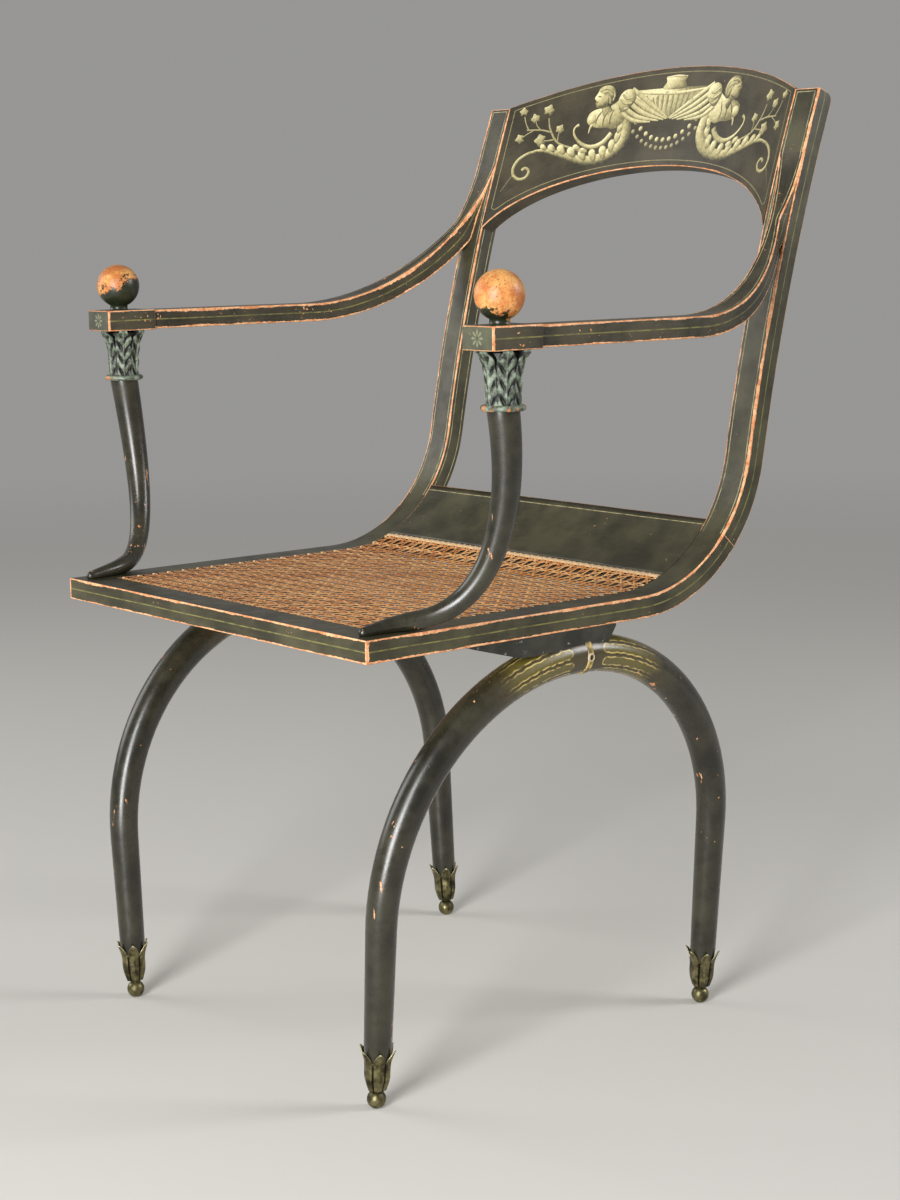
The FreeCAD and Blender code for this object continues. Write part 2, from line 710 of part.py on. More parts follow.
def make_support():
    stations = support_stations()
    curve = Part.BSplineCurve()
    curve.interpolate([place for place, radius in stations])
    sections = []
    for place, radius in stations:
        direction = curve.tangent(curve.parameter(place))[0]
        sections.append(frame_circle(place, direction, radius))
    horn = Part.makeLoft(sections, True, False)
    top = stations[0][0]
    flat = Part.makeCylinder(2 * value("support_radius"), 2 * value("support_radius"), top)
    tenon_length = value("capital_height") + value("support_tenon_length")
    tenon = Part.makeCylinder(value("tenon_radius"), tenon_length, top)
    rail_top = value("seat_height")
    below = Part.makeBox(4 * value("half_width"), 4 * value("front_reach"), rail_top,
                         Vector(-2 * value("half_width"), -2 * value("front_reach"), 0))
    return horn.cut(flat).fuse(tenon).cut(below).removeSplitter()


# Leg arch, drawn upright at the crown and then leant in about it

crown = Vector(value("arch_half_span"), value(back("arch_crown")), value("arch_height"))
leg_placement = Placement(crown, Rotation(Vector(0, 1, 0), value("leg_cant_angle")))
foot_height = value("foot_radius") - value("foot_flat")
foot_local = -(value("arch_height") - foot_height) / math.cos(math.radians(value("leg_cant_angle")))
shoe_bottom = foot_local + math.sqrt(value("foot_radius") ** 2 - value("foot_neck_radius") ** 2) + value(
    "foot_neck_height")
ankle = shoe_bottom + value("shoe_height")
leaf_tip = ankle + value("shoe_leaf_height")
arch_turns = (18, 36, 54, 72, 90)
collar_turn = math.degrees(value("collar_setback") / value("back_arch_radius"))


def arch_point(radius, side, turn):
    # A place on the arch's axis, a turn away from the crown towards side.
    angle = math.radians(turn)
    place = Vector(0, side * radius * math.sin(angle), radius * (math.cos(angle) - 1))
    direction = Vector(0, side * math.cos(angle), -math.sin(angle))
    return place, direction


def placed(shape, placement):
    moved = shape.copy()
    moved.Placement = placement
    return moved


def horn_stations(front):
    # Places on the horn's axis from the butt joint to where the leg runs straight.
    place, direction = arch_point(value("back_arch_radius"), 1, collar_turn)
    if front:
        turned_on = [arch_point(value("front_arch_radius"), -1, turn) for turn in arch_turns]
        return [(place, direction * -1)] + turned_on
    return [(place, direction)] + [arch_point(value("back_arch_radius"), 1, turn) for turn in arch_turns]


def make_leg_horn(front):
    # A tapering arch, a straight tapering shank, and a peg for the shoe.
    stations = horn_stations(front)
    lengths = [0.0]
    for first, second in zip(stations, stations[1:]):
        lengths.append(lengths[-1] + (second[0] - first[0]).Length)
    spring = stations[-1][0]
    shank = spring.z - leaf_tip
    thick = value("horn_radius")
    thin = value("horn_ankle_radius")
    whole = lengths[-1] + shank
    radii = [thick + (thin - thick) * (length / whole) ** value("horn_taper_power") for length in lengths]
    sections = [frame_circle(place, direction, radius) for (place, direction), radius in zip(stations, radii)]
    down = Vector(0, 0, -1)
    straight = Part.makeCone(radii[-1], thin, shank, spring, down)
    tip = spring + down * shank
    taper = Part.makeCone(thin, value("shoe_top_radius"), value("shoe_leaf_height"), tip, down)
    foot = tip + down * value("shoe_leaf_height")
    peg = Part.makeCylinder(value("horn_peg_radius"), value("horn_peg_length"), foot, down)
    horn = Part.makeLoft(sections, True, False).fuse([straight, taper, peg])
    return placed(horn, leg_placement)


def make_collar(horns):
    # A thin ring over the butt joint, bored to the horns.
    place, direction = arch_point(value("back_arch_radius"), 1, collar_turn)
    length = value("collar_length")
    radius = value("horn_radius") + value("collar_depth")
    disc = Part.makeCylinder(radius, length, place - direction * (length / 2), direction)
    return placed(disc, leg_placement).cut(horns)


def make_saddle(horns, collar):
    # A block between the crown of the arch and the rail, sloped at its ends and hollowed over the horns.
    side = crown.x - value("saddle_width") / 2
    front = crown.y - value("saddle_front")
    back = crown.y + value("saddle_back")
    top = value("rail_underside")
    end = top - value("saddle_end")
    bottom = top - value("saddle_drop")
    corners = [
        Vector(side, front, top),
        Vector(side, front, end),
        Vector(side, front + value("saddle_front_slope"), bottom),
        Vector(side, back - value("saddle_back_slope"), bottom),
        Vector(side, back, end),
        Vector(side, back, top),
    ]
    outline_face = Part.Face(Part.makePolygon(corners + corners[:1]))
    block = outline_face.extrude(Vector(value("saddle_width"), 0, 0))
    return block.cut(horns).cut(collar)


def make_shoe(label, front):
    # Brass cup with flared leaves round the ankle, and a ball foot under it.
    body = new_body(label)
    profile = outline(body, "shoe_profile_" + label, "XZ_Plane", [
        ("0", "0"),
        ("shoe_base_radius", "0", "shoe_cup_curve"),
        ("shoe_top_radius", "shoe_height"),
        ("horn_peg_radius", "shoe_height"),
        ("horn_peg_radius", "shoe_floor"),
        ("0", "shoe_floor"),
    ])
    turned(body, "shoe_cup_" + label, profile)
    leaf_top = "shoe_height + shoe_leaf_height"
    leaf = outline(body, "shoe_leaf_profile_" + label, "XZ_Plane", [
        ("shoe_base_radius - shoe_leaf_thickness", "shoe_leaf_root"),
        ("shoe_top_radius", "shoe_leaf_root", "-shoe_leaf_curve"),
        ("horn_ankle_radius + shoe_leaf_thickness + shoe_leaf_flare", leaf_top),
        ("horn_ankle_radius + shoe_leaf_flare", leaf_top, "shoe_leaf_curve"),
        ("shoe_top_radius + shoe_leaf_gap", "shoe_height"),
        ("shoe_base_radius - shoe_leaf_thickness", "shoe_height"),
    ])
    one_leaf = turned(body, "shoe_leaf_" + label, leaf, "shoe_leaf_angle")
    ring_pattern(body, "shoe_leaves_" + label, one_leaf, profile, "shoe_leaf_number")
    along = -value("front_arch_radius") if front else value("back_arch_radius")
    local = Placement(Vector(0, along, shoe_bottom), Rotation())
    body.Placement = leg_placement.multiply(local)
    return body


def make_foot(label, front):
    # Ball foot, flat where it stands, with a neck up to the shoe.
    along = -value("front_arch_radius") if front else value("back_arch_radius")
    centre = leg_placement.multVec(Vector(0, along, foot_local))
    ball = doc.addObject("Part::Sphere", label + "_ball")
    bind(ball, Radius="foot_radius")
    ball.Placement = Placement(centre, Rotation())
    neck = doc.addObject("Part::Cylinder", label + "_neck")
    bind(neck, Radius="foot_neck_radius")
    neck.Height = shoe_bottom - foot_local
    neck.Placement = leg_placement.multiply(Placement(Vector(0, along, foot_local), Rotation()))
    whole = doc.addObject("Part::Fuse", label + "_whole")
    whole.Base = ball
    whole.Tool = neck
    floor = doc.addObject("Part::Box", label + "_floor")
    bind(floor, Length="4 * foot_radius", Width="4 * foot_radius", Height="4 * foot_radius")
    size = 4 * value("foot_radius")
    floor.Placement = Placement(Vector(centre.x - size / 2, centre.y - size / 2, -size), Rotation())
    return cut_from(label, whole, [floor])


# Crest: a piece of a leaning tube, arched above and below

crest_corner = swept_point("stile_lean_angle")
crest_origin = Vector(0, value(crest_corner[0]), value(crest_corner[1]))
crest_placement = Placement(crest_origin, Rotation(Vector(1, 0, 0), -value("crest_recline_angle")))
crest_centre = -math.sqrt(value("crest_radius") ** 2 - value("inner_half_width") ** 2)
crest_top_drop = value("crest_top_radius") - math.sqrt(
    value("crest_top_radius") ** 2 - value("inner_half_width") ** 2)
crest_crown = value("crest_shoulder") + crest_top_drop
crest_span = 2 * (value("crest_height") + value("crest_arch_rise"))


def crest_part(kind, name, base, rotation, **formulas):
    item = doc.addObject("Part::" + kind, name)
    bind(item, **formulas)
    item.Placement = crest_placement.multiply(Placement(base, rotation))
    return item


def boolean(kind, name, base, tool):
    item = doc.addObject("Part::" + kind, name)
    item.Base = base
    item.Tool = tool
    return item


def make_crest():
    upright_turn = Rotation()
    facing = Rotation(Vector(1, 0, 0), 90)
    low = Vector(0, crest_centre, -crest_span)
    outer = crest_part("Cylinder", "crest_outer", low, upright_turn,
                       Radius="crest_radius + crest_thickness", Height=2 * crest_span)
    hollow = crest_part("Cylinder", "crest_hollow", low, upright_turn,
                        Radius="crest_radius", Height=2 * crest_span)
    tube = boolean("Cut", "crest_tube", outer, hollow)
    reach = value("crest_radius")
    window_corner = Vector(-value("inner_half_width"), 0, -crest_span)
    window = crest_part("Box", "crest_window", window_corner, upright_turn,
                        Length="2 * inner_half_width", Width="crest_radius", Height=2 * crest_span)
    board = boolean("Common", "crest_board", tube, window)
    top_centre = Vector(0, reach, crest_crown - value("crest_top_radius"))
    top = crest_part("Cylinder", "crest_top", top_centre, facing, Radius="crest_top_radius", Height=2 * reach)
    arched = boolean("Common", "crest_arched", board, top)
    oval = doc.addObject("Part::Ellipse", "crest_oval")
    bind(oval, MajorRadius="crest_arch_half_width", MinorRadius="crest_arch_rise")
    arch_centre = Vector(0, reach, crest_crown - value("crest_height") - value("crest_arch_rise"))
    oval.Placement = crest_placement.multiply(Placement(arch_centre, facing))
    arch = doc.addObject("Part::Extrusion", "crest_arch")
    arch.Base = oval
    arch.DirMode = "Custom"
    arch.Dir = crest_placement.Rotation.multVec(Vector(0, -1, 0))
    arch.Solid = True
    arch.LengthFwd = 2 * reach
    below = crest_part("Box", "crest_below", Vector(-reach, -reach, -2 * crest_span), upright_turn,
                       Length="2 * crest_radius", Width="2 * crest_radius",
                       Height=2 * crest_span + crest_crown - value("crest_height") - value("crest_arch_rise"))
    return cut_from("crest_blank", arched, [arch, below])


def crest_dowels():
    found = []
    for number in (0, 1):
        level = value("crest_shoulder") - value("crest_dowel_drop") - number * value("crest_dowel_pitch")
        middle = crest_placement.multVec(Vector(value("inner_half_width"), value("crest_dowel_inset"), level))
        found.append(dowel(middle, Vector(1, 0, 0), dowel_radius, dowel_depth))
    return found


# Dowels of the right side

# Dowels of the seat board, as shares of its way round the turn.
board_dowel_shares = (0.35, 0.7)


def frame_dowels():
    found = []
    turn = math.radians(value("splice_angle"))
    along = Vector(0, math.cos(turn), math.sin(turn))
    centre = value("inner_half_width") + value("stile_width") / 2
    for side in (-1, 1):
        across = centre + side * value("stile_width") / 4
        middle = place_on_turn("splice_angle", "frame_thickness / 2", across)
        found.append(dowel(middle, along, dowel_radius, dowel_depth))
    for share in board_dowel_shares:
        board_turn = "board_front_angle + (board_top_angle - board_front_angle) * %s" % share
        middle = place_on_turn("(%s)" % board_turn, "board_thickness / 2", value("inner_half_width"))
        found.append(dowel(middle, Vector(1, 0, 0), dowel_radius, dowel_depth))
    return found


def arm_dowels():
    found = []
    half = value("arm_thickness / 2")
    rear_face = value(back("block_setback + block_tail"))
    found.append(dowel(Vector(arm_axis.x, rear_face, value("arm_height") - half), Vector(0, 1, 0),
                       dowel_radius, dowel_depth))
    along, up = arm_level("arm_splice_angle", "arm_thickness / 2")
    turn = math.radians(value("arm_splice_angle"))
    depth = value(along) + value("front_reach")
    across, slope = arm_middle(depth)
    direction = Vector(slope * math.cos(turn), math.cos(turn), math.sin(turn)).normalize()
    middle = Vector(across, value(along), value(up))
    found.append(dowel(middle, direction, dowel_radius, dowel_depth))
    return found


def arch_dowels():
    joint, direction = arch_point(value("back_arch_radius"), 1, collar_turn)
    middle = leg_placement.multVec(joint)
    turned_direction = leg_placement.Rotation.multVec(direction)
    found = [dowel(middle, turned_direction, value("joint_dowel_radius"), value("joint_dowel_depth"))]
    top = value("rail_underside") + value("arch_peg_depth")
    for side in (-1, 1):
        start = Vector(crown.x, crown.y + side * value("arch_peg_spacing") / 2, crown.z)
        found.append(Part.makeCylinder(value("arch_peg_radius"), top - crown.z, start))
    return found


def mirror_solids(solids):
    return [solid.mirror(Vector(0, 0, 0), Vector(1, 0, 0)) for solid in solids]


def group_node(label, solids):
    keep(made(label, Part.makeCompound(solids + mirror_solids(solids))))
    return made(label + "_tool", Part.makeCompound(solids))


frame_tool = group_node("frame_dowels", frame_dowels())
crest_tool = group_node("crest_dowels", crest_dowels())
arm_tool = group_node("arm_dowels", arm_dowels())
arch_tool = group_node("arch_dowels", arch_dowels())


def both_sides(item, left_label):
    keep(item, mirrored(item, left_label))
    return item


# Seat frame and back

support_shape = make_support()
rail = cut_from("seat_side_rail_right", make_side_rail(), [frame_tool, arch_tool])
both_sides(rail, "seat_side_rail_left")
stile_blank = make_stile()
stile = cut_from("back_stile_right", stile_blank, [frame_tool, crest_tool])
both_sides(stile, "back_stile_left")
keep(make_front_rail())
board_half = cut_from("board_right_holes", make_seat_board(), [frame_tool])
frame_tool_left = mirrored(frame_tool, "frame_tool_left")
keep(cut_from("back_seat_board", board_half, [frame_tool_left]))
keep(make_cane())
crest_tool_left = mirrored(crest_tool, "crest_tool_left")
keep(cut_from("crest_panel", make_crest(), [crest_tool, crest_tool_left]))

# Arms

both_sides(cut_from("arm_bar_right", sawn_arm("arm_bar", arm_side_bar), [arm_tool]), "arm_bar_left")
elbow_trim = doc.addObject("Part::Box", "elbow_trim")
bind(elbow_trim, Length="2 * inner_half_width", Width="2 * front_reach", Height="2 * stile_top_height")
elbow_trim.Placement = Placement(Vector(-value("inner_half_width"), 0, 0), Rotation())
elbow_blank = sawn_arm("arm_elbow", arm_side_elbow)
both_sides(cut_from("arm_elbow_right", elbow_blank, [arm_tool, stile_blank, elbow_trim]), "arm_elbow_left")
support = both_sides(made("arm_support_right", support_shape), "arm_support_left")
finial = both_sides(make_finial(), "ball_finial_left")
both_sides(cut_from("arm_block_right", make_block(), [arm_tool, support, finial]), "arm_block_left")
both_sides(make_capital(), "capital_left")

# Leg arches

front_horn_shape = make_leg_horn(True)
back_horn_shape = make_leg_horn(False)
horns_shape = front_horn_shape.fuse(back_horn_shape)
collar_shape = make_collar(horns_shape)
front_horn = made("leg_horn_front_blank", front_horn_shape)
back_horn = made("leg_horn_back_blank", back_horn_shape)
both_sides(cut_from("leg_horn_front_right", front_horn, [arch_tool]), "leg_horn_front_left")
both_sides(cut_from("leg_horn_back_right", back_horn, [arch_tool]), "leg_horn_back_left")
both_sides(made("arch_collar_right", collar_shape), "arch_collar_left")
saddle = made("saddle_blank", make_saddle(horns_shape, collar_shape))
both_sides(cut_from("saddle_block_right", saddle, [arch_tool]), "saddle_block_left")
for end, is_front in (("front", True), ("back", False)):
    both_sides(make_shoe("leaf_shoe_%s_right" % end, is_front), "leaf_shoe_%s_left" % end)
    both_sides(make_foot("ball_foot_%s_right" % end, is_front), "ball_foot_%s_left" % end)

doc.recompute()

# Every object has to have built, and every node has to be a valid solid

for item in doc.Objects:
    if "Invalid" in item.State or "Error" in item.State:
        raise ValueError("%s failed: %s" % (item.Label, item.State))
for item in nodes:
    if item.Shape.isNull() or not item.Shape.isValid() or item.Shape.Volume <= 0:
        raise ValueError("%s has no valid solid" % item.Label)

os.makedirs("parts", exist_ok=True)
whole = FreeCAD.BoundBox()
for item in nodes:
    item.Shape.exportStep("parts/%s.step" % item.Label)
    whole.add(item.Shape.BoundBox)
    box = item.Shape.BoundBox
    print("%-22s solids %3d volume %8.0f  X %7.1f %7.1f  Y %7.1f %7.1f  Z %7.1f %7.1f" % (
        item.Label, len(item.Shape.Solids), item.Shape.Volume,
        box.XMin, box.XMax, box.YMin, box.YMax, box.ZMin, box.ZMax))
print("overall X %.1f to %.1f, Y %.1f to %.1f, Z %.1f to %.1f" % (
    whole.XMin, whole.XMax, whole.YMin, whole.YMax, whole.ZMin, whole.ZMax))
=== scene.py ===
import math
import random

import bmesh
import bpy
from mathutils import Matrix, Vector
from mathutils.geometry import interpolate_bezier


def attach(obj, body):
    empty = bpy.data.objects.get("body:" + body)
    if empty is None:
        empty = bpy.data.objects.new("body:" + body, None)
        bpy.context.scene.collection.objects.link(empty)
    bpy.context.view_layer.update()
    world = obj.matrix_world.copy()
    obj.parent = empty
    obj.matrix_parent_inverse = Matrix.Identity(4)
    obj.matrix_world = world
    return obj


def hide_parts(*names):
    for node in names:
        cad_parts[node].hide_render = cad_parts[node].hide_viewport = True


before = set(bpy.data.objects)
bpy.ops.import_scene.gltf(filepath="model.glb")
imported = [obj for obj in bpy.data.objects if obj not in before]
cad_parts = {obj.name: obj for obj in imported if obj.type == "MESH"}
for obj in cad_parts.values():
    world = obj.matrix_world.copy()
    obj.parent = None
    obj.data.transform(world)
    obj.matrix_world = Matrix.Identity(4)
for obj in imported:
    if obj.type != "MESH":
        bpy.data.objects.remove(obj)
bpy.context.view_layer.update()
print("frame loaded")

# Shapes are worked out in millimetres in the part's own frame and stored in metres.

chair = {
    "frontReach": 305.9,
    "seatHeight": 416.6,
    "halfWidth": 231.0,
    "railWidth": 30.6,
    "railThickness": 20.0,
    "frontRailFace": 34.0,
}
innerHalfWidth = chair["halfWidth"] - chair["railWidth"]
railFaces = (chair["halfWidth"], innerHalfWidth)
sides = (("right", 1), ("left", -1))
metre = 0.001


def linearColour(code):
    # A hex colour as linear light, with full opacity.
    parts = [int(code[index:index + 2], 16) / 255 for index in (1, 3, 5)]
    return tuple(p / 12.92 if p <= 0.04045 else ((p + 0.055) / 1.055) ** 2.4 for p in parts) + (1.0,)


# Shader helpers

class Signal:
    # A node's output that can be reckoned with: each sum is a math node.
    def __init__(self, tree, socket):
        self.tree = tree
        self.socket = socket

    def __add__(self, other):
        return maths("ADD", self, other)

    def __sub__(self, other):
        return maths("SUBTRACT", self, other)

    def __rsub__(self, other):
        return maths("SUBTRACT", other, self)

    def __mul__(self, other):
        return maths("MULTIPLY", self, other)

    def __truediv__(self, other):
        return maths("DIVIDE", self, other)

    def __abs__(self):
        return maths("ABSOLUTE", self)

    def most(self, other):
        return maths("MAXIMUM", self, other)

    def step(self, low, high):
        # Nought below low, one above high, smooth between.
        smooth = {"interpolation_type": "SMOOTHSTEP"}
        return Signal(self.tree, addNode(self.tree, "ShaderNodeMapRange", smooth, self, low, high).outputs[0])


def plug(tree, socket, entry):
    # Links a signal to a socket, or sets the socket to a constant or a hex colour.
    if isinstance(entry, Signal):
        tree.links.new(entry.socket, socket)
    else:
        socket.default_value = linearColour(entry) if isinstance(entry, str) else entry


def addNode(tree, kind, settings=None, *entries, **inputs):
    # A new node, with its inputs given in order or by name.
    made = tree.nodes.new(kind)
    for key, setting in (settings or {}).items():
        setattr(made, key, setting)
    for index, entry in enumerate(entries):
        plug(tree, made.inputs[index], entry)
    for key, entry in inputs.items():
        plug(tree, made.inputs[key], entry)
    return made


def maths(operation, *entries):
    tree = next(entry.tree for entry in entries if isinstance(entry, Signal))
    return Signal(tree, addNode(tree, "ShaderNodeMath", {"operation": operation}, *entries).outputs[0])


class Paint:
    # A material under way, with the patterns that its colours are mixed from.
    def __init__(self, name):
        self.material = bpy.data.materials.new(name)
        self.material.use_nodes = True
        self.tree = self.material.node_tree
        self.shader = self.tree.nodes["Principled BSDF"]
        self.place = Signal(self.tree, addNode(self.tree, "ShaderNodeTexCoord").outputs["Object"])

    def signal(self, kind, settings=None, *entries, **inputs):
        return Signal(self.tree, addNode(self.tree, kind, settings, *entries, **inputs).outputs[0])

    def parts(self, vector):
        found = addNode(self.tree, "ShaderNodeSeparateXYZ", None, vector)
        return [Signal(self.tree, part) for part in found.outputs[:2]]

    def pair(self, layer):
        # The two numbers that a layer of the mesh holds.
        return self.parts(self.signal("ShaderNodeUVMap", {"uv_map": layer}))

    def noise(self, size, detail=3.0, roughness=0.55, place=None):
        # Noise with features of about this many millimetres.
        return self.signal("ShaderNodeTexNoise", None, place or self.place, Scale=1 / (size * metre),
                           Detail=detail, Roughness=roughness)

    def streaks(self, scale, detail, roughness, *places):
        # Noise over places along and across a face, in millimetres.
        spread = self.signal("ShaderNodeCombineXYZ", None, *places)
        return self.signal("ShaderNodeTexNoise", None, spread, Scale=scale, Detail=detail,
                           Roughness=roughness)

    def mix(self, share, first, second):
        made = addNode(self.tree, "ShaderNodeMix", {"data_type": "RGBA"}, share)
        for socket, entry in zip(made.inputs[6:8], (first, second)):
            plug(self.tree, socket, entry)
        return Signal(self.tree, made.outputs[2])

    def finish(self, colour, roughness, bump=None, **inputs):
        # Sets the shader. A bump is a height and its depth in millimetres.
        inputs.update(Base_Color=colour, Roughness=roughness)
        if bump:
            inputs["Normal"] = self.signal("ShaderNodeBump", Height=bump[0], Distance=bump[1] * metre)
        for key, entry in inputs.items():
            plug(self.tree, self.shader.inputs[key.replace("_", " ")], entry)
        return self.material


# Mesh helpers: every quad carries, in millimetres, its place along and across its face (lay), the way to a
# worn end and the face's half width (rim), the wear at its two arrises (rub) and its painted lines (trim).

uvLayers = ("lay", "rim", "rub", "trim")
outOfReach = 999.0
plainCorner = ((0.0, 0.0), (outOfReach, outOfReach), (0.0, 0.0), (0.0, 0.0))
plainFaces = ((0.0, 0.0),) * 4
outerLine = plainFaces[:3] + ((0.0, 1.0),)
endWearUnit = 1.6


def newPiece(name, points, faces, corners, material):
    mesh = bpy.data.meshes.new(name)
    mesh.from_pydata([Vector(point) * metre for point in points], [], faces)
    for layer, pairs in zip(uvLayers, zip(*corners)):
        for spot, pair in zip(mesh.uv_layers.new(name=layer).data, pairs):
            spot.uv = pair
    work = bmesh.new()
    work.from_mesh(mesh)
    bmesh.ops.recalc_face_normals(work, faces=work.faces)
    work.to_mesh(mesh)
    work.free()
    for face in mesh.polygons:
        face.use_smooth = True
    mesh.materials.append(material)
    piece = bpy.data.objects.new(name.replace(" ", "_"), mesh)
    bpy.context.scene.collection.objects.link(piece)
    return piece


def settle(piece, slotName, *nodes):
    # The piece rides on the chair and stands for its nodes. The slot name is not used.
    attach(piece, "root")
    if nodes:
        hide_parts(*nodes)


def flatten(piece):
    # Keeps broad faces flat between rounded arrises.
    shading = piece.modifiers.new("broad faces", "WEIGHTED_NORMAL")
    shading.weight = 90
    shading.keep_sharp = True
    return piece


def wayToEnd(along, length, widths):
    # The way to a worn end of a face, scaled so that the wear there has the given width.
    ways = [way * endWearUnit / width for way, width in zip((along, length - along), widths) if width]
    return min(ways + [outOfReach])


def quads(rows, count, closed=True):
    # The (row, place) corners of every quad between rows of so many points.
    for row in range(rows - 1):
        for place in range(count if closed else count - 1):
            after = (place + 1) % count
            yield (row, place), (row, after), (row + 1, after), (row + 1, place)


def skin(name, rings, corner, material):
    # Joins rings of points with quads and closes both ends with a sharp edge. The corner function gives what
    # an edge of a ring carries at its start or its end.
    count = len(rings[0])
    faces = []
    corners = []
    for quad in quads(len(rings), count):
        faces.append(tuple(row * count + place for row, place in quad))
        corners.extend(corner(row, quad[0][1], end) for (row, place), end in zip(quad, (0, 1, 1, 0)))
    for row in (0, len(rings) - 1):
        faces.append(tuple(row * count + place for place in range(count)))
        corners.extend([plainCorner] * count)
    piece = newPiece(name, [point for ring in rings for point in ring], faces, corners, material)
    around = {key for face in piece.data.polygons[-2:] for key in face.edge_keys}
    for edge in piece.data.edges:
        edge.use_edge_sharp = edge.key in around
    return piece


def lengthsAlong(places):
    found = [0.0]
    for first, second in zip(places, places[1:]):
        found.append(found[-1] + (second - first).length)
    return found


def roundedRing(corners, radius):
    # A four-sided section with rounded arrises: its points, and each edge's span on the face that it is on.
    lengths = [(corners[(i + 1) % 4] - corners[i]).length for i in range(4)]
    insets = [min(radius, length * 0.45) for length in lengths]
    ring = []
    edges = []
    for i in range(4):
        last = (i - 1) % 4
        before = (corners[last] - corners[i]).normalized() * insets[last]
        after = (corners[(i + 1) % 4] - corners[i]).normalized() * insets[i]
        ring += [corners[i] + before, corners[i] + (before + after) * 0.293, corners[i] + after]
        half = lengths[i] / 2
        lastHalf = lengths[last] / 2
        edges.append((last, (lastHalf - insets[last], lastHalf), lastHalf))
        edges.append((i, (-half, insets[i] - half), half))
        edges.append((i, (insets[i] - half, half - insets[i]), half))
    return ring, edges


def barPiece(name, stations, style, material):
    # A bar through stations of four corners. For each of its faces, a style gives the wear at the two arrises
    # where the bar starts and ends, the inset of an edge line, whether there is a middle line, and the wear
    # at both ends.
    rings, edges = zip(*(roundedRing(corners, style["arris"]) for corners in stations))
    alongs = lengthsAlong([sum(corners, Vector()) / 4 for corners in stations])

    def corner(row, edge, end):
        face, span, half = edges[row][edge]
        share = row / (len(stations) - 1)
        rubs = zip(style["rub"][face], style.get("rubEnd", style["rub"])[face])
        worn = wayToEnd(alongs[row], alongs[-1], style.get("ends", plainFaces)[face])
        return ((alongs[row], span[end]), (worn, half), [a + (b - a) * share for a, b in rubs],
                style["lines"][face])

    return flatten(skin(name, rings, corner, material))


def roundPiece(name, stations, alongs, material, around, grained=False):
    # A round piece through stations of place, two ways across and radius. Across holds the angle in degrees.
    turns = [2 * math.pi * step / around for step in range(around)]
    rings = [[place + (first * math.cos(turn) + second * math.sin(turn)) * radius for turn in turns]
             for place, first, second, radius in stations]

    def corner(row, edge, end):
        way = alongs[row] if grained else outOfReach
        return (alongs[row], 360.0 * (edge + end) / around), (way, stations[row][3])

    return skin(name, rings, corner, material)


def tubePiece(name, path, material, around=40, grained=False):
    # A round bar along a path of place, direction and radius.
    sideways = Vector((1, 0, 0))
    stations = []
    for place, direction, radius in path:
        first = (sideways - direction * sideways.dot(direction)).normalized()
        stations.append((place, first, direction.cross(first), radius))
    return roundPiece(name, stations, lengthsAlong([spot[0] for spot in path]), material, around, grained)


def lathePiece(name, profile, placement, material, around=48):
    # A turned piece from (radius, height) pairs. Along holds the height.
    first, second = (placement.to_3x3() @ Vector(way) for way in ((1, 0, 0), (0, 1, 0)))
    stations = [(placement @ Vector((0, 0, height)), first, second, radius) for radius, height in profile]
    return roundPiece(name, stations, [height for radius, height in profile], material, around)


def leafPiece(name, rises, around, form, placement, material):
    # A carved cup through rows of a share of its height and an inset. The form gives the radius, height and
    # tone at a turn and a share, and across holds the tone.
    points = []
    tones = []
    for rise, inset in rises:
        for step in range(around):
            turn = 2 * math.pi * step / around
            radius, height, tone = form(turn, rise)
            radius -= inset
            points.append(placement @ Vector((radius * math.cos(turn), radius * math.sin(turn), height)))
            tones.append(tone)
    faces = [tuple(row * around + place for row, place in quad) for quad in quads(len(rises), around)]
    faces += [tuple(range(around)), tuple(range(len(points) - around, len(points)))]
    corners = [((0.0, tones[index]),) for face in faces for index in face]
    return newPiece(name, points, faces, corners, material)


def bell(distance, width):
    return math.exp(-(distance / width) ** 2)


def ramp(entry, low, high):
    share = min(max((entry - low) / (high - low), 0.0), 1.0)
    return share * share * (3 - 2 * share)


def steps(start, end, size):
    count = max(1, math.ceil(abs(end - start) / size))
    return [start + (end - start) * index / count for index in range(count + 1)]


def sided(point, side):
    return Vector((point[0] * side, point[1], point[2]))


def placed(across, depth, height, side=1):
    # A place by its depth behind the front edge of the seat.
    return Vector((across * side, depth - chair["frontReach"], height))


def boxed(side, outer, inner, upper, lower, lead=0.0):
    # Corners of a section: upper outer, upper inner, lower inner and lower outer. The inner ones lie further
    # back by the lead.
    order = ((outer, upper, 0.0), (inner, upper, lead), (inner, lower, lead), (outer, lower, 0.0))
    return [placed(across, depth + way, height, side) for across, (depth, height), way in order]


# Materials

paints = {
    "groundDark": "#2a281b",
    "groundLight": "#45422f",
    "stroke": "#524e39",
    "wood": "#c27745",
    "woodPale": "#e3b083",
    "woodDark": "#83492a",
    "linePale": "#a59c74",
    "lineOlive": "#75713f",
    "scratch": "#8a8270",
}


def wornEdges(paint, across, half, endWay):
    # How far the paint is gone, from the way to each arris and end, ragged by fine and broad noise.
    spread = paint.noise(34, 2.0).step(0.3, 0.72) * 0.55 + 0.55
    ragged = paint.noise(3.2, 4.0, 0.65) * 3.0 - 1.5
    found = (ragged * 0.9 + 1.6 - endWay).step(-0.1, 0.3)
    for rub, way in zip(paint.pair("rub"), (half + across, half - across)):
        depth = rub * (spread + ragged * 0.4)
        found = found.most((depth - way).step(-0.12, 0.3))
    return found


def chipSpots(paint, size, amount):
    # Scattered small losses of paint that gather in patches.
    spots = paint.noise(size, 2.0) + paint.noise(size * 9, 2.0) * 0.55
    return spots.step(1.06 - amount, 1.1 - amount)


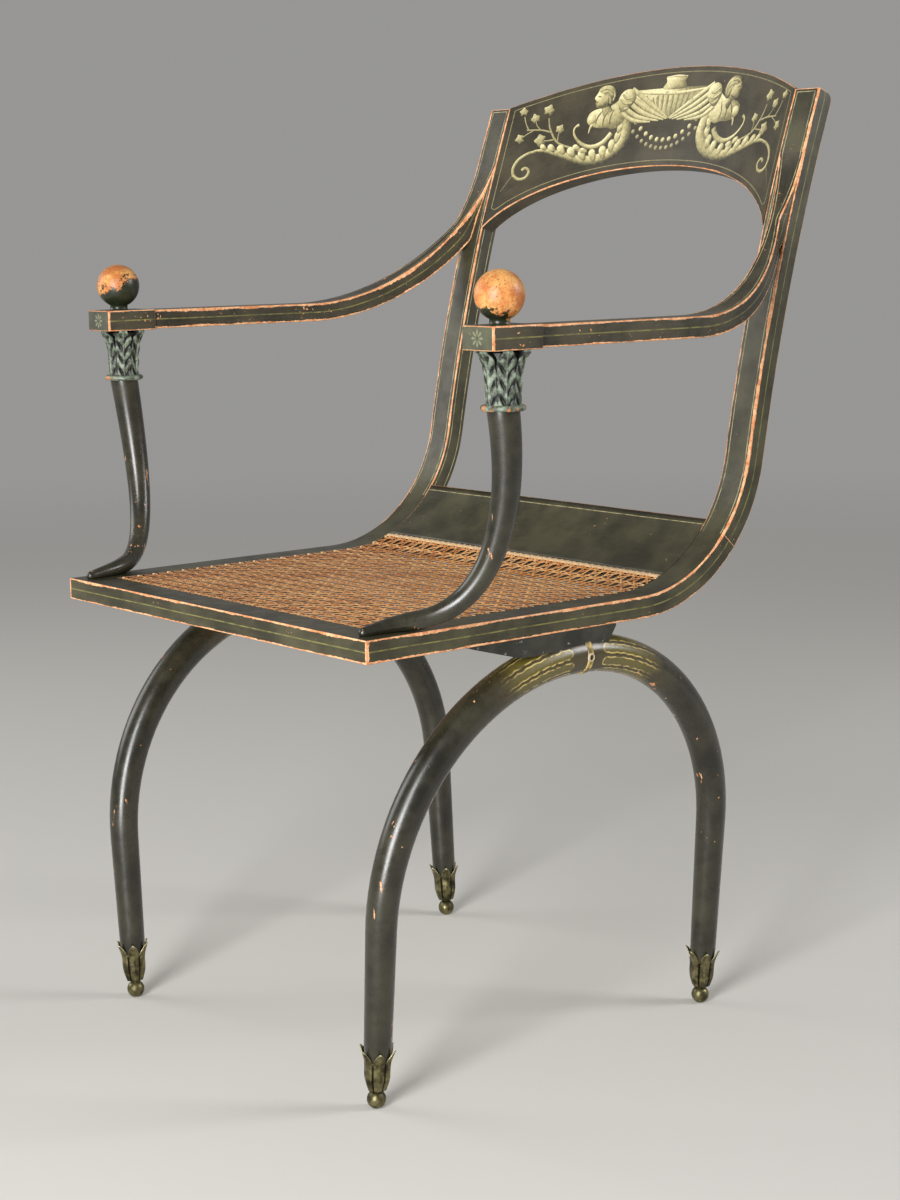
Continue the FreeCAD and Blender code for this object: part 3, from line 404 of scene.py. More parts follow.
def bareWood(paint):
    # Orange-brown beech under the paint, streaked and dirty.
    tone = paint.mix(paint.noise(7, 5.0, 0.6).step(0.3, 0.64), paints["wood"], paints["woodPale"])
    return paint.mix(paint.noise(1.6).step(0.5, 0.75) * 0.7, tone, paints["woodDark"])


def paintedWood(name, dark, light, roughness, losses):
    # Aged green-black satin paint with thin pale lines, rubbed through to the wood at the arrises, scratched
    # and with scattered losses.
    paint = Paint(name)
    along, across = paint.pair("lay")
    endWay, half = paint.pair("rim")
    inset, middle = paint.pair("trim")
    ground = paint.mix(paint.noise(46, 4.0, 0.6).step(0.32, 0.7), dark, light)
    brush = paint.streaks(1.1, 3.0, 0.5, along * 0.02, across)
    ground = paint.mix(brush.step(0.45, 0.8) * 0.35, ground, paints["stroke"])
    wobble = paint.noise(60, 1.0) * 0.8 - 0.4
    edgeWay = maths("MINIMUM", half - abs(across), endWay)
    rubbed = paint.noise(9, 4.0, 0.6).step(0.3, 0.62) * 0.72 + 0.2
    for off, low, high, wanted, colour in ((edgeWay + wobble - inset, 0.3, 0.6, inset, "linePale"),
                                           (across + wobble, 0.4, 0.75, middle, "lineOlive")):
        line = (1.0 - abs(off).step(low, high)) * maths("GREATER_THAN", wanted, 0.1)
        ground = paint.mix(line * rubbed, ground, paints[colour])
    scratch = paint.streaks(0.9, 5.0, 0.7, along * 0.07, across).step(0.7 - losses, 0.76 - losses)
    ground = paint.mix(scratch * 0.55, ground, paints["scratch"])
    worn = wornEdges(paint, across, half, endWay).most(chipSpots(paint, 2.6, losses))
    gloss = paint.noise(12, 4.0).step(0.35, 0.7) * 0.09 + roughness
    return paint.finish(paint.mix(worn, ground, bareWood(paint)), gloss.most(worn * 0.62),
                        (paint.noise(1.4) * 0.35 - worn, 0.16), Specular_IOR_Level=0.38)


grain = {
    "cell": 40.0,
    "start": 22.0,
    "halfWidth": 3.9,
    "edge": 0.6,
    "fadeFrom": 58.0,
    "fadeTo": 104.0,
    "glowReach": 1.35,
}


def paintedHorn(name):
    # Glossier green-black paint on the round horns, chipped, with ochre graining beside the collars.
    paint = Paint(name)
    around = paint.pair("lay")[1]
    collarWay, radius = paint.pair("rim")
    ground = paint.mix(paint.noise(40, 4.0, 0.6).step(0.3, 0.7), "#17160e", "#2f2d20")
    wander = paint.noise(16) * 7.0 - 3.5
    sideways = (maths("FRACT", around / grain["cell"]) - 0.5) * (radius * math.radians(grain["cell"]))
    sideways = sideways + wander * 0.34 + maths("SINE", collarWay * 0.62) * 0.28
    before = (grain["start"] - collarWay).most(0.0)
    reach = maths("SQRT", before * before + sideways * sideways)
    loops = 1.0 - abs(reach - grain["halfWidth"]).step(0.25, 0.9)
    inside = 1.0 - reach.step(grain["halfWidth"] - grain["edge"], grain["halfWidth"])
    ending = collarWay + wander * 9.0
    kept = 1.0 - ending.step(grain["fadeFrom"], grain["fadeTo"])
    glow = 1.0 - ending.step(grain["fadeFrom"], grain["fadeTo"] * grain["glowReach"])
    ground = paint.mix(glow * 0.8, ground, "#43391f")
    ground = paint.mix(inside * kept * 0.75, ground, "#5f5626")
    ground = paint.mix(loops * kept * paint.noise(7, 4.0).step(0.32, 0.55), ground, "#b7a262")
    upright = paint.signal("ShaderNodeVectorMath", {"operation": "MULTIPLY"}, paint.place, (1.0, 1.0, 0.2))
    scrapes = paint.noise(9, 5.0, 0.62, upright) + paint.noise(90) * 0.5
    chips = chipSpots(paint, 3.6, 0.0).most(scrapes.step(0.94, 0.97))
    gloss = paint.noise(10, 4.0).step(0.35, 0.7) * 0.12 + 0.25
    return paint.finish(paint.mix(chips, ground, bareWood(paint)), gloss.most(chips * 0.6),
                        (paint.noise(6) * 0.5 - chips, 0.18), Specular_IOR_Level=0.34, Coat_Weight=0.45,
                        Coat_Roughness=0.26)


def wornBall(name, level, tilt):
    # Turned beech with dark green paint left below a level, in shares of the ball's radius from its middle.
    # The level is tilted up towards one turn of the ball.
    paint = Paint(name)
    height, around = paint.pair("lay")
    facing = maths("COSINE", maths("RADIANS", around - tilt[0]))
    ragged = height - facing * tilt[1] + (paint.noise(15, 7.0, 0.72) * 3.0 - 1.5)
    cover = (1.0 - ragged.step(level - 0.05, level + 0.05)).most(chipSpots(paint, 1.6, 0.1) * 0.8)
    wood = paint.mix(paint.noise(14, 5.0, 0.6).step(0.36, 0.66), "#ae652e", "#d39a58")
    wood = paint.mix(paint.noise(1.5, 4.0).step(0.5, 0.7) * 0.65, wood, "#744321")
    return paint.finish(paint.mix(cover, wood, "#1f2415"), cover * -0.1 + 0.42, (cover, 0.2))


def carvedPaint(name):
    # Rubbed green-grey paint on the carving, painted shade near black in the hollows. Across holds the
    # relief, nought to one.
    paint = Paint(name)
    patches = paint.noise(6, 4.0, 0.6)
    raised = paint.pair("lay")[1] + (patches * 0.6 - 0.3)
    colour = paint.mix(patches.step(0.36, 0.66), "#353d31", "#7b8674")
    # painted shade: near black where the relief is low
    colour = paint.mix(raised.step(0.26, 0.72), "#0c0d09", colour)
    colour = paint.mix(raised.step(0.92, 1.12) * paint.noise(11).step(0.56, 0.66), colour, "#b2713f")
    return paint.finish(colour, 0.46, (paint.noise(1.6, 4.0), 0.2))


def dullBrass(name, carved):
    # Cast brass gone olive-brown, brighter where it is rubbed. On carved work across holds the relief:
    # painted shade in the grooves, and ridges and rims lighter, partly rubbed brass and partly painted
    # highlight.
    paint = Paint(name)
    patina = paint.noise(8, 5.0, 0.6)
    colour = paint.mix(patina.step(0.35, 0.68), "#3d3926", "#7f7753")
    if carved:
        raised = paint.pair("lay")[1] + (patina * 0.5 - 0.25)
        # painted shade: near black where the relief is low
        colour = paint.mix(raised.step(0.05, 0.5), "#15130b", colour)
        # lighter on the ridges and rims: partly rubbed brass, partly painted highlight
        colour = paint.mix(raised.step(0.7, 1.0), colour, "#a8a07c")
    return paint.finish(colour, patina.step(0.3, 0.7) * -0.14 + 0.46, (paint.noise(1.2), 0.08), Metallic=0.85)


def splitCane(name):
    # Glossy orange-tan cane, each strand a little different, streaked along its length, painted shade at its
    # edges.
    paint = Paint(name)
    along, across = paint.pair("lay")
    chance, width = paint.pair("rim")
    streak = paint.streaks(1.0, 4.0, 0.5, along * 0.04, across * 2.2, chance * 50.0)
    colour = paint.mix((chance * 0.5 + streak * 0.6).step(0.25, 0.8), "#c4752f", "#f4b874")
    colour = paint.mix(paint.noise(45).step(0.5, 0.75) * 0.35, colour, "#8a5630")
    # painted shade: each strand's edges go near black, for the dark between the strands
    colour = paint.mix((abs(across) / width).step(0.355, 0.4) * 0.97, colour, "#1c0f07")
    return paint.finish(colour, 0.4)


def plainWood(name):
    # Bare hardwood of the hidden dowels.
    paint = Paint(name)
    return paint.finish(bareWood(paint), 0.6)


def ochrePaint(name):
    # Ochre striping paint on the collars, worn and dirty.
    paint = Paint(name)
    wear = paint.noise(5, 4.0, 0.6)
    return paint.finish(paint.mix(wear.step(0.36, 0.62), "#5a4c26", "#b59d63"), 0.4, (wear, 0.12))


def scuffedPaint(name):
    # Dark paint with pale rubs on the saddle blocks.
    paint = Paint(name)
    rubs = paint.noise(9, 5.0, 0.65)
    colour = paint.mix(paint.noise(30).step(0.35, 0.7), "#17170f", "#2e2d24")
    return paint.finish(paint.mix(rubs.step(0.6, 0.7), colour, "#85877f"), 0.45, (rubs, 0.5))


def flatPaint(name, code, roughness):
    # One even colour with faint mottling, for tiny details.
    paint = Paint(name)
    base = linearColour(code)
    darker = tuple(part * 0.7 for part in base[:3]) + (1.0,)
    return paint.finish(paint.mix(paint.noise(3, 4.0), darker, base), roughness)


def ornamentPaint(name):
    # Grisaille in cream and olive glazes. Along holds the tone, across the strength of the paint.
    paint = Paint(name)
    tone, strength = paint.pair("lay")
    stops = addNode(paint.tree, "ShaderNodeValToRGB", None, tone + (paint.noise(3.0, 5.0, 0.65) * 0.7 - 0.35))
    glazes = stops.color_ramp.elements
    colours = ((0.0, "#2f2b1e"), (0.3, "#6b6443"), (0.62, "#a79d6e"), (1.0, "#ddd4a5"))
    for index, (spot, code) in enumerate(colours):
        glaze = glazes[index] if index < 2 else glazes.new(spot)
        glaze.position = spot
        glaze.color = linearColour(code)
    cover = strength * (paint.noise(5.0, 4.0, 0.6).step(0.26, 0.42) * 0.6 + 0.4)
    return paint.finish(paint.mix(cover, "#332f26", Signal(paint.tree, stops.outputs[0])), 0.45)


framePaint = paintedWood("aged green-black paint on beech", paints["groundDark"], paints["groundLight"],
                         0.34, -0.01)
armPaint = paintedWood("handled green-black paint on beech", "#26231a", "#413c2d", 0.32, 0.05)
blockPaint = paintedWood("rubbed olive paint on beech", "#33342a", "#50513e", 0.42, 0.03)
crestPaint = paintedWood("aged brown-black paint on beech", "#2d281d", "#453f2f", 0.38, -0.02)
hornPaint = paintedHorn("aged green-black gloss paint on beech")
carving = carvedPaint("rubbed green-grey paint with painted shade on carved wood")
shoeBrass = dullBrass("dull cast brass leaves", True)
brass = dullBrass("dull cast brass", False)
cane = splitCane("split cane")
dowelWood = plainWood("bare hardwood")
collarPaint = ochrePaint("ochre striping paint")
saddlePaint = scuffedPaint("scuffed dark paint")
# painted shade: a near-black disc stands for the inside of a peg hole
holeShade = flatPaint("painted shade of a peg hole", "#060504", 0.9)
rimWhite = flatPaint("chipped pale gesso", "#b9ad93", 0.6)
pegWood = flatPaint("pale cane pegs", "#d9b98f", 0.5)
grisaille = ornamentPaint("grisaille paint")
rosettePaint = flatPaint("faded green line paint", "#73765c", 0.5)
print("materials ready")

# Side rails and stiles

sideFrame = {
    "bendStart": 314.0,
    "bendRadius": 140.0,
    "bendAngle": 80.0,
    "sweepRadius": 1900.0,
    "sweepAngle": 10.5,
    "spliceAngle": 48.0,
    "topRound": 8.0,
    "mitreLead": 6.0,
    "levelStep": 24.0,
    "bendStep": 2.0,
    "sweepStep": 0.35,
}
railStyle = {
    "arris": 1.0,
    "rub": ((0.9, 0.3), (0.2, 0.2), (0.2, 0.7), (2.3, 2.6)),
    "rubEnd": ((2.4, 0.5), (0.3, 0.2), (0.2, 0.4), (1.3, 1.8)),
    "lines": outerLine,
    "ends": plainFaces[:3] + ((1.6, 0.3),),
}
stileStyle = {
    "arris": 1.0,
    "rub": ((2.6, 1.3), (1.1, 0.3), (0.2, 0.4), (1.1, 1.9)),
    "rubEnd": ((3.4, 2.7), (1.5, 0.4), (0.3, 0.5), (0.9, 2.2)),
    "lines": ((4.4, 0.0), (4.2, 0.0), (0.0, 0.0), (0.0, 1.0)),
    "ends": ((0.0, 1.6), (0.0, 0.0), (0.0, 0.0), (0.3, 1.0)),
}


def onBend(angle, drop):
    # Depth and height on the turned-up part of a side, so far under its upper face.
    turn = math.radians(angle)
    radius = sideFrame["bendRadius"] + drop
    return (sideFrame["bendStart"] + radius * math.sin(turn),
            chair["seatHeight"] + sideFrame["bendRadius"] - radius * math.cos(turn))


bendEnd = onBend(sideFrame["bendAngle"], 0.0)
topLean = sideFrame["bendAngle"] - sideFrame["sweepAngle"]


def onSweep(lean, drop):
    # Depth and height on the swept part of a stile, by its lean from level.
    first = math.radians(sideFrame["bendAngle"])
    turn = math.radians(lean)
    radius = sideFrame["sweepRadius"]
    return (bendEnd[0] + radius * math.sin(first) - (radius - drop) * math.sin(turn),
            bendEnd[1] - radius * math.cos(first) + (radius - drop) * math.cos(turn))


def bendStations(side, first, last):
    return [boxed(side, *railFaces, onBend(angle, 0.0), onBend(angle, chair["railThickness"]))
            for angle in steps(first, last, sideFrame["bendStep"])]


def sideRail(side, label):
    top = chair["seatHeight"]
    low = top - chair["railThickness"]
    stations = [boxed(side, *railFaces, (0.0, top), (0.0, low), chair["frontRailFace"])]
    for depth in steps(chair["frontRailFace"] + sideFrame["mitreLead"], sideFrame["bendStart"],
                       sideFrame["levelStep"]):
        stations.append(boxed(side, *railFaces, (depth, top), (depth, low)))
    stations += bendStations(side, 0.0, sideFrame["spliceAngle"])[1:]
    settle(barPiece("side rail " + label, stations, railStyle, framePaint), "painted_frame",
           "seat_side_rail_" + label)


def stile(side, label):
    stations = bendStations(side, sideFrame["spliceAngle"], sideFrame["bendAngle"])
    roundLean = topLean + math.degrees(sideFrame["topRound"] / sideFrame["sweepRadius"])
    leans = [(lean, 0.0) for lean in steps(sideFrame["bendAngle"], roundLean, sideFrame["sweepStep"])[1:]]
    for share in (0.3, 0.55, 0.75, 0.9, 1.0):
        cut = sideFrame["topRound"] * (1 - math.sqrt(1 - share ** 2))
        leans.append((roundLean + (topLean - roundLean) * share, cut))
    for lean, cut in leans:
        lower = onSweep(lean, chair["railThickness"] - cut)
        stations.append(boxed(side, *railFaces, onSweep(lean, 0.0), lower))
    piece = barPiece("stile " + label, stations, stileStyle, framePaint)
    settle(piece, "painted_frame", "back_stile_" + label)


for label, side in sides:
    sideRail(side, label)
    stile(side, label)

# Front rail, mitred to the side rails in its paint

frontStyle = {
    "arris": 1.0,
    "rub": ((0.9, 0.2), (0.2, 0.2), (0.2, 0.6), (1.9, 2.2)),
    "lines": outerLine,
    "ends": plainFaces[:3] + ((1.6, 1.6),),
}


def frontRail():
    upper = (0.0, chair["seatHeight"])
    lower = (0.0, chair["seatHeight"] - chair["railThickness"])
    stations = []
    for share in steps(-1.0, 1.0, 0.1):
        outer, inner = (face * share for face in railFaces)
        stations.append(boxed(1, outer, inner, upper, lower, chair["frontRailFace"]))
    settle(barPiece("front rail", stations, frontStyle, framePaint), "painted_frame", "front_seat_rail")


frontRail()

# Seat board behind the cane

board = {
    "frontAngle": 22.7,
    "topAngle": 53.6,
    "thickness": 14.0,
    "topRub": 0.8,
    "lineFromTop": 6.0,
    "step": 2.5,
}


def seatBoard():
    angles = steps(board["frontAngle"], board["topAngle"], board["step"])
    outline = [onBend(angle, 0.0) for angle in angles]
    outline += [onBend(angle, board["thickness"]) for angle in reversed(angles)]
    rings = [[placed(across, *spot) for spot in outline] for across in (-innerHalfWidth, innerHalfWidth)]
    length = math.radians(board["topAngle"] - board["frontAngle"]) * sideFrame["bendRadius"]
    last = len(angles) - 1

    def corner(row, edge, end):
        along = 2 * innerHalfWidth * row
        if edge >= last:
            return ((along, 0.0),) + plainCorner[1:]
        return ((along, length * (edge + end) / last), (outOfReach, length), (0.0, board["topRub"]),
                (board["lineFromTop"], 0.0))

    settle(flatten(skin("seat board", rings, corner, framePaint)), "painted_frame", "back_seat_board")


seatBoard()

# Ledges inside the rails and the board that carry the cane

ledge = {
    "width": 12.0,
    "drop": 2.4,
    "step": 30.0,
}
ledgeStyle = {
    "arris": 0.6,
    "rub": ((0.1, 0.1),) * 4,
    "lines": plainFaces,
}


def caneLedges():
    top = chair["seatHeight"] - ledge["drop"]
    low = chair["seatHeight"] - chair["railThickness"]
    inner = innerHalfWidth - ledge["width"]
    face = chair["frontRailFace"]
    near = face + ledge["width"]
    profile = [((depth, top), (depth, low)) for depth in steps(near, sideFrame["bendStart"], ledge["step"])]
    for angle in steps(0.0, board["frontAngle"], sideFrame["bendStep"])[1:]:
        profile.append((onBend(angle, ledge["drop"]), onBend(angle, chair["railThickness"])))
    bars = [("rail ledge " + label, [boxed(side, innerHalfWidth, inner, *spots) for spots in profile])
            for label, side in sides]
    last = board["frontAngle"]
    first = last - math.degrees(ledge["width"] / sideFrame["bendRadius"])
    front = ((face, top), (near, top), (near, low), (face, low))
    back = (onBend(first, ledge["drop"]), onBend(last, ledge["drop"]),
            onBend(last, board["thickness"]), onBend(first, board["thickness"]))
    crossBars = (("front rail ledge", front, innerHalfWidth), ("seat board ledge", back, inner))
    for name, section, reach in crossBars:
        bars.append((name, [[placed(end, *spot) for spot in section] for end in (-reach, reach)]))
    for name, stations in bars:
        settle(barPiece(name, stations, ledgeStyle, framePaint), "painted_frame")


caneLedges()
print("seat frame built")

# Arms, each ending in a square block

arm = {
    "height": 667.1,
    "halfSpan": 284.7,
    "width": 31.0,
    "thickness": 18.5,
    "radius": 212.0,
    "flareStart": 271.0,
    "merge": 490.0,
    "spliceAngle": 24.0,
    "endRelief": 0.6,
    "blockSetback": 99.2,
    "levelStep": 16.0,
    "bendStep": 2.0,
    "elbowStep": 1.5,
    "bite": 0.3,
    "feather": 0.4,
    "trimStep": 0.2,
}
armStyle = {
    "arris": 1.0,
    "rub": ((1.8, 2.2), (3.0, 2.4), (0.6, 0.8), (1.8, 2.1)),
    "lines": ((4.0, 0.0), (0.0, 1.0), (0.0, 0.0), (0.0, 1.0)),
    "ends": plainFaces[:3] + ((0.5, 0.0),),
}
block = {
    "width": 38.0,
    "nose": 24.0,
    "tail": 30.0,
    "height": 20.0,
    "proud": 0.7,
    "chamfer": 0.9,
    "flatFrom": 5.0,
}
blockStyle = {
    "arris": 1.0,
    "rub": ((1.5, 1.3), (1.4, 1.4), (0.6, 0.8), (1.4, 1.7)),
    "lines": ((0.0, 0.0), (0.0, 1.0), (0.0, 0.0), (0.0, 1.0)),
    "ends": ((1.0, 0.6), (1.8, 0.6), (0.8, 0.6), (2.2, 0.7)),
}
armOuter = arm["halfSpan"] + arm["width"] / 2
armInner = arm["halfSpan"] - arm["width"] / 2
blockTop = arm["height"] + block["proud"]
forkAngle = math.degrees(math.acos(
    (arm["height"] + arm["radius"] - bendEnd[1]
     + sideFrame["sweepRadius"] * math.cos(math.radians(sideFrame["bendAngle"])))
    / (arm["radius"] + sideFrame["sweepRadius"])))
forkDepth = onSweep(forkAngle, 0.0)[0]
armBendStart = forkDepth - arm["radius"] * math.sin(math.radians(forkAngle))


def flareRadius(end, drop):
    length = end - arm["flareStart"]
    return (length ** 2 + drop ** 2) / (2 * drop)


outerFace = (armOuter, flareRadius(arm["merge"], armOuter - chair["halfWidth"]), chair["halfWidth"])
innerFace = (armInner, flareRadius(forkDepth, armInner - innerHalfWidth), innerHalfWidth)


def armCorner(side, spot, face):
    # A corner of the arm, whose faces run straight and then round in to those of the stile.
    start, radius, least = face
    run = min(max(spot[0] - arm["flareStart"], 0.0), radius)
    return placed(max(start - radius + math.sqrt(radius ** 2 - run ** 2), least), *spot, side)


def stileFace(height):
    # Depth of a stile's front face at a height above the turn.
    first = math.cos(math.radians(sideFrame["bendAngle"]))
    rise = (height - bendEnd[1]) / sideFrame["sweepRadius"]
    return onSweep(math.degrees(math.acos(min(1.0, first + rise))), 0.0)[0]


def armSection(angle):
    # Upper and lower place of the arm on its sweep, the lower one stopped by the stile's face.
    turn = math.radians(angle)
    upper = (armBendStart + arm["radius"] * math.sin(turn),
             arm["height"] + arm["radius"] * (1 - math.cos(turn)))
    depth = arm["thickness"]
    while True:
        lower = (upper[0] + depth * math.sin(turn), upper[1] - depth * math.cos(turn))
        if depth <= arm["feather"] or lower[0] < stileFace(lower[1]) + arm["bite"]:
            return upper, lower
        depth -= arm["trimStep"]


def armPiece(side, label):
    high = arm["height"]
    low = high - arm["thickness"]
    depths = steps(arm["blockSetback"] + block["tail"], armBendStart, arm["levelStep"])
    angles = steps(0.0, arm["spliceAngle"], arm["bendStep"])[1:]
    angles += steps(arm["spliceAngle"], forkAngle - arm["endRelief"], arm["elbowStep"])[1:]
    stations = []
    for upper, lower in [((depth, high), (depth, low)) for depth in depths] + [armSection(a) for a in angles]:
        order = ((upper, outerFace), (upper, innerFace), (lower, innerFace), (lower, outerFace))
        stations.append([armCorner(side, spot, face) for spot, face in order])
    settle(barPiece("arm " + label, stations, armStyle, armPaint), "painted_frame", "arm_bar_" + label,
           "arm_elbow_" + label)


def armBlock(side, label):
    nose = -block["nose"]
    tail = block["tail"]
    ends = ((nose, block["chamfer"]), (nose + block["chamfer"], 0.0), (nose + block["flatFrom"], 0.0),
            (tail - block["flatFrom"], 0.0), (tail - block["chamfer"], 0.0), (tail, block["chamfer"]))
    stations = []
    for offset, inset in ends:
        half = block["width"] / 2 - inset
        depth = arm["blockSetback"] + offset
        stations.append(boxed(side, arm["halfSpan"] + half, arm["halfSpan"] - half, (depth, blockTop - inset),
                              (depth, blockTop - block["height"] + inset)))
    piece = barPiece("arm block " + label, stations, blockStyle, armPaint)
    piece.data.materials.append(blockPaint)
    piece.data.polygons[-2].material_index = 1  # the front end is rubbed paler
    settle(piece, "painted_frame", "arm_block_" + label)


rosette = {
    "radius": 7.6,
    "petals": 8,
    "lift": 0.06,
    "outline": ((0.18, 0.0), (0.4, 0.1), (0.72, 0.17), (1.0, 0.0), (0.72, -0.17), (0.4, -0.1)),
}


def turned(outline, angle):
    # Flat (ahead, aside) spots, turned by an angle in radians.
    cos = math.cos(angle)
    sin = math.sin(angle)
    return [(ahead * cos - aside * sin, ahead * sin + aside * cos) for ahead, aside in outline]


def blockRosette(side, label):
    # A faint painted flower on the front of a block.
    centre = placed(arm["halfSpan"], arm["blockSetback"] - block["nose"] - rosette["lift"],
                    blockTop - block["height"] / 2, side)
    points = []
    for petal in range(rosette["petals"]):
        for x, up in turned(rosette["outline"], 2 * math.pi * petal / rosette["petals"]):
            points.append(centre + Vector((x, 0.0, up)) * rosette["radius"])
    size = len(rosette["outline"])
    faces = [tuple(range(start, start + size)) for start in range(0, len(points), size)]
    piece = newPiece("block rosette " + label, points, faces, [plainCorner] * len(points), rosettePaint)
    settle(piece, "painted_frame")


for label, side in sides:
    armPiece(side, label)
for label, side in sides:
    armBlock(side, label)
    blockRosette(side, label)

# Ball finials

finial = {
    "radius": 20.7,
    "neckRadius": 8.5,
    "neckHeight": 4.6,
    "neckFlare": ((1.2, 0.0), (0.3, 0.8), (0.0, 2.0)),
    "tipAngle": 0.04,
    "angleStep": 0.08,
    "paintLeft": {"right": -0.6, "left": 0.2},
    "paintTilt": {"right": (226.0, 0.36), "left": (62.0, 0.42)},
}


def ballFinial(side, label):
    neck = finial["neckRadius"]
    radius = finial["radius"]
    centre = finial["neckHeight"] + math.sqrt(radius ** 2 - neck ** 2)
    profile = [(neck + flare, height) for flare, height in finial["neckFlare"]]
    for angle in steps(math.pi - math.asin(neck / radius), finial["tipAngle"], finial["angleStep"]):
        profile.append((radius * math.sin(angle), centre + radius * math.cos(angle)))
    paint = wornBall("worn paint on a turned ball " + label, finial["paintLeft"][label],
                     finial["paintTilt"][label])
    base = Matrix.Translation(placed(arm["halfSpan"], arm["blockSetback"], blockTop, side))
    piece = lathePiece("ball finial " + label, profile, base, paint)
    for spot in piece.data.uv_layers["lay"].data:
        spot.uv[0] = (spot.uv[0] - centre) / radius
    settle(piece, "worn_ball", "ball_finial_" + label)


for label, side in sides:
    ballFinial(side, label)
print("arms built")

# Carved capitals under the blocks

capital = {
    "height": 49.0,
    "ringHeight": 5.0,
    "ringBite": 1.0,
    "ring": ((12.6, 0.0), (16.8, 0.1), (18.2, 0.9), (18.9, 2.4), (18.4, 4.0), (17.0, 4.9), (12.8, 5.0),
             (9.0, 4.4)),
    "low": 13.6,
    "high": 15.4,
    "setback": 3.0,
    "leaves": 6,
    "around": 288,
    "rows": 72,
    "flare": 8.4,
    "lobes": 3.6,
}
capitalFoot = (arm["halfSpan"], arm["blockSetback"] + capital["setback"],
               blockTop - block["height"] - capital["height"])


def capitalLeaf(turn, rise):
    # Radius, height and tone of the carving at a place round the bell and a share of its height: upright
    # leaves with a strong rib, steep lobes with drilled slots between them, and tips that flare.
    leafTurn = turn * capital["leaves"] / (2 * math.pi)
    across = 2 * (leafTurn % 1.0) - 1
    off = abs(across)
    nicks = math.sin(2 * math.pi * (rise * capital["lobes"] + 0.2))
    edge = 0.98 - 0.5 * ramp(rise, 0.7, 1.0) ** 2 + 0.05 * nicks
    leaf = 1 - ramp(off, edge - 0.1, edge + 0.02)
    rib = bell(across, 0.12 - 0.05 * rise)
    seam = bell(1 - off, 0.1) * (1 - ramp(rise, 0.78, 0.86))
    wander = 0.12 * math.sin(7.3 * math.floor(leafTurn) + 2.0 * (across > 0))
    count = (rise + wander * 0.4) * capital["lobes"] - 0.95 * off + 0.15
    slot = bell(((count + 0.5) % 1.0) - 0.5, 0.17) * bell(off - 0.46, 0.24) * (1 - ramp(rise, 0.84, 0.92))
    lobe = 0.5 + 0.5 * math.cos(2 * math.pi * (count - 0.5))
    relief = leaf * (1.5 + 1.3 * rib + 0.5 * lobe - 1.6 * slot) + 0.9 * seam - 1.3
    relief += capital["flare"] * rise ** 5 * leaf - 2.2 * ramp(rise, 0.955, 1.0)
    # tone: low in the slots and between the leaves, for painted shade there
    tone = max(leaf * (0.46 + 0.22 * lobe) * (1 - slot) ** 2, rib * 1.05, seam * 0.6) - 0.25 * (1 - leaf)
    start = capital["ringHeight"] - capital["ringBite"]
    return (capital["low"] + (capital["high"] - capital["low"]) * rise + relief,
            start + (capital["height"] - start) * rise, tone)


def carvedCapital(side, label):
    placement = Matrix.Translation(placed(*capitalFoot, side))
    rises = [(row / capital["rows"], 0.0) for row in range(capital["rows"] + 1)]
    settle(leafPiece("capital " + label, rises, capital["around"], capitalLeaf, placement, carving),
           "carved_capital", "capital_" + label)
    settle(lathePiece("capital ring " + label, capital["ring"], placement, carving, 64), "carved_capital")


for label, side in sides:
    carvedCapital(side, label)

# Horn arm supports

support = {
    "radius": 13.6,
    "tenon": 4.5,
    "lead": (0.0, 16.0, -104.5),    # from the top to the curve's first handle
    "sweep": (30.3, 48.0, 5.5),     # from the heel to the curve's second handle
    "heelRadius": 8.2,
    "heelSetback": 56.0,
    "heelHeight": 8.4,
    "heelInset": 8.5,
    "heelShare": 0.3,               # of the sweep, to the foot's first handle
    "toeRadius": 4.2,
    "toeSetback": 12.0,
    "toeHeight": 2.8,
    "toeInset": 19.0,
    "toeLead": (2.0, 14.0, 1.8),    # from the toe to its handle
    "thinning": 1.4,
    "spots": 48,
    "toeSpots": 16,
}


def onCurve(around, t):
    # A point on a smooth curve between the middle two of four knots.
    weights = (-0.5 * t + t ** 2 - 0.5 * t ** 3, 1 - 2.5 * t ** 2 + 1.5 * t ** 3,
               0.5 * t + 2 * t ** 2 - 1.5 * t ** 3, -0.5 * t ** 2 + 0.5 * t ** 3)
    return sum((knot * weight for knot, weight in zip(around, weights)), Vector())


def withDirections(path):
    stations = []
    for index, (place, radius) in enumerate(path):
        before = path[max(index - 1, 0)][0]
        after = path[min(index + 1, len(path) - 1)][0]
        stations.append((place, (after - before).normalized(), radius))
    return stations


def onRail(end):
    # A point of the support's foot over the side rail.
    return placed(chair["halfWidth"] - support[end + "Inset"], support[end + "Setback"],
                  chair["seatHeight"] + support[end + "Height"])


def armSupport(side, label):
    top = placed(*capitalFoot)
    heel = onRail("heel")
    toe = onRail("toe")
    sweep = Vector(support["sweep"])
    thick = support["radius"]
    thin = support["heelRadius"]
    tip = support["toeRadius"]
    path = [(top + Vector((0, 0, support["tenon"])), thick)]
    bend = interpolate_bezier(top, top + Vector(support["lead"]), heel + sweep, heel, support["spots"])
    for index, place in enumerate(bend):
        thinned = 1 - (1 - index / (len(bend) - 1)) ** support["thinning"]
        path.append((place, thick + (thin - thick) * thinned))
    foot = interpolate_bezier(heel, heel - sweep * support["heelShare"], toe + Vector(support["toeLead"]),
                              toe, support["toeSpots"])
    for index, place in enumerate(foot[1:], 1):
        path.append((place, thin + (tip - thin) * index / len(foot)))
    ahead = (path[-1][0] - path[-3][0]).normalized()
    for share in (0.35, 0.7, 0.92, 1.0):
        path.append((toe + ahead * tip * share, tip * math.sqrt(max(1 - share ** 2, 0.004))))
    stations = [(sided(place, side), sided(direction, side), radius)
                for place, direction, radius in withDirections(path)]
    piece = tubePiece("arm support " + label, stations, hornPaint)
    for vertex in piece.data.vertices:
        vertex.co.z = max(vertex.co.z, chair["seatHeight"] * metre)
    settle(piece, "painted_horn", "arm_support_" + label)


for label, side in sides:
    armSupport(side, label)

# Leg arches

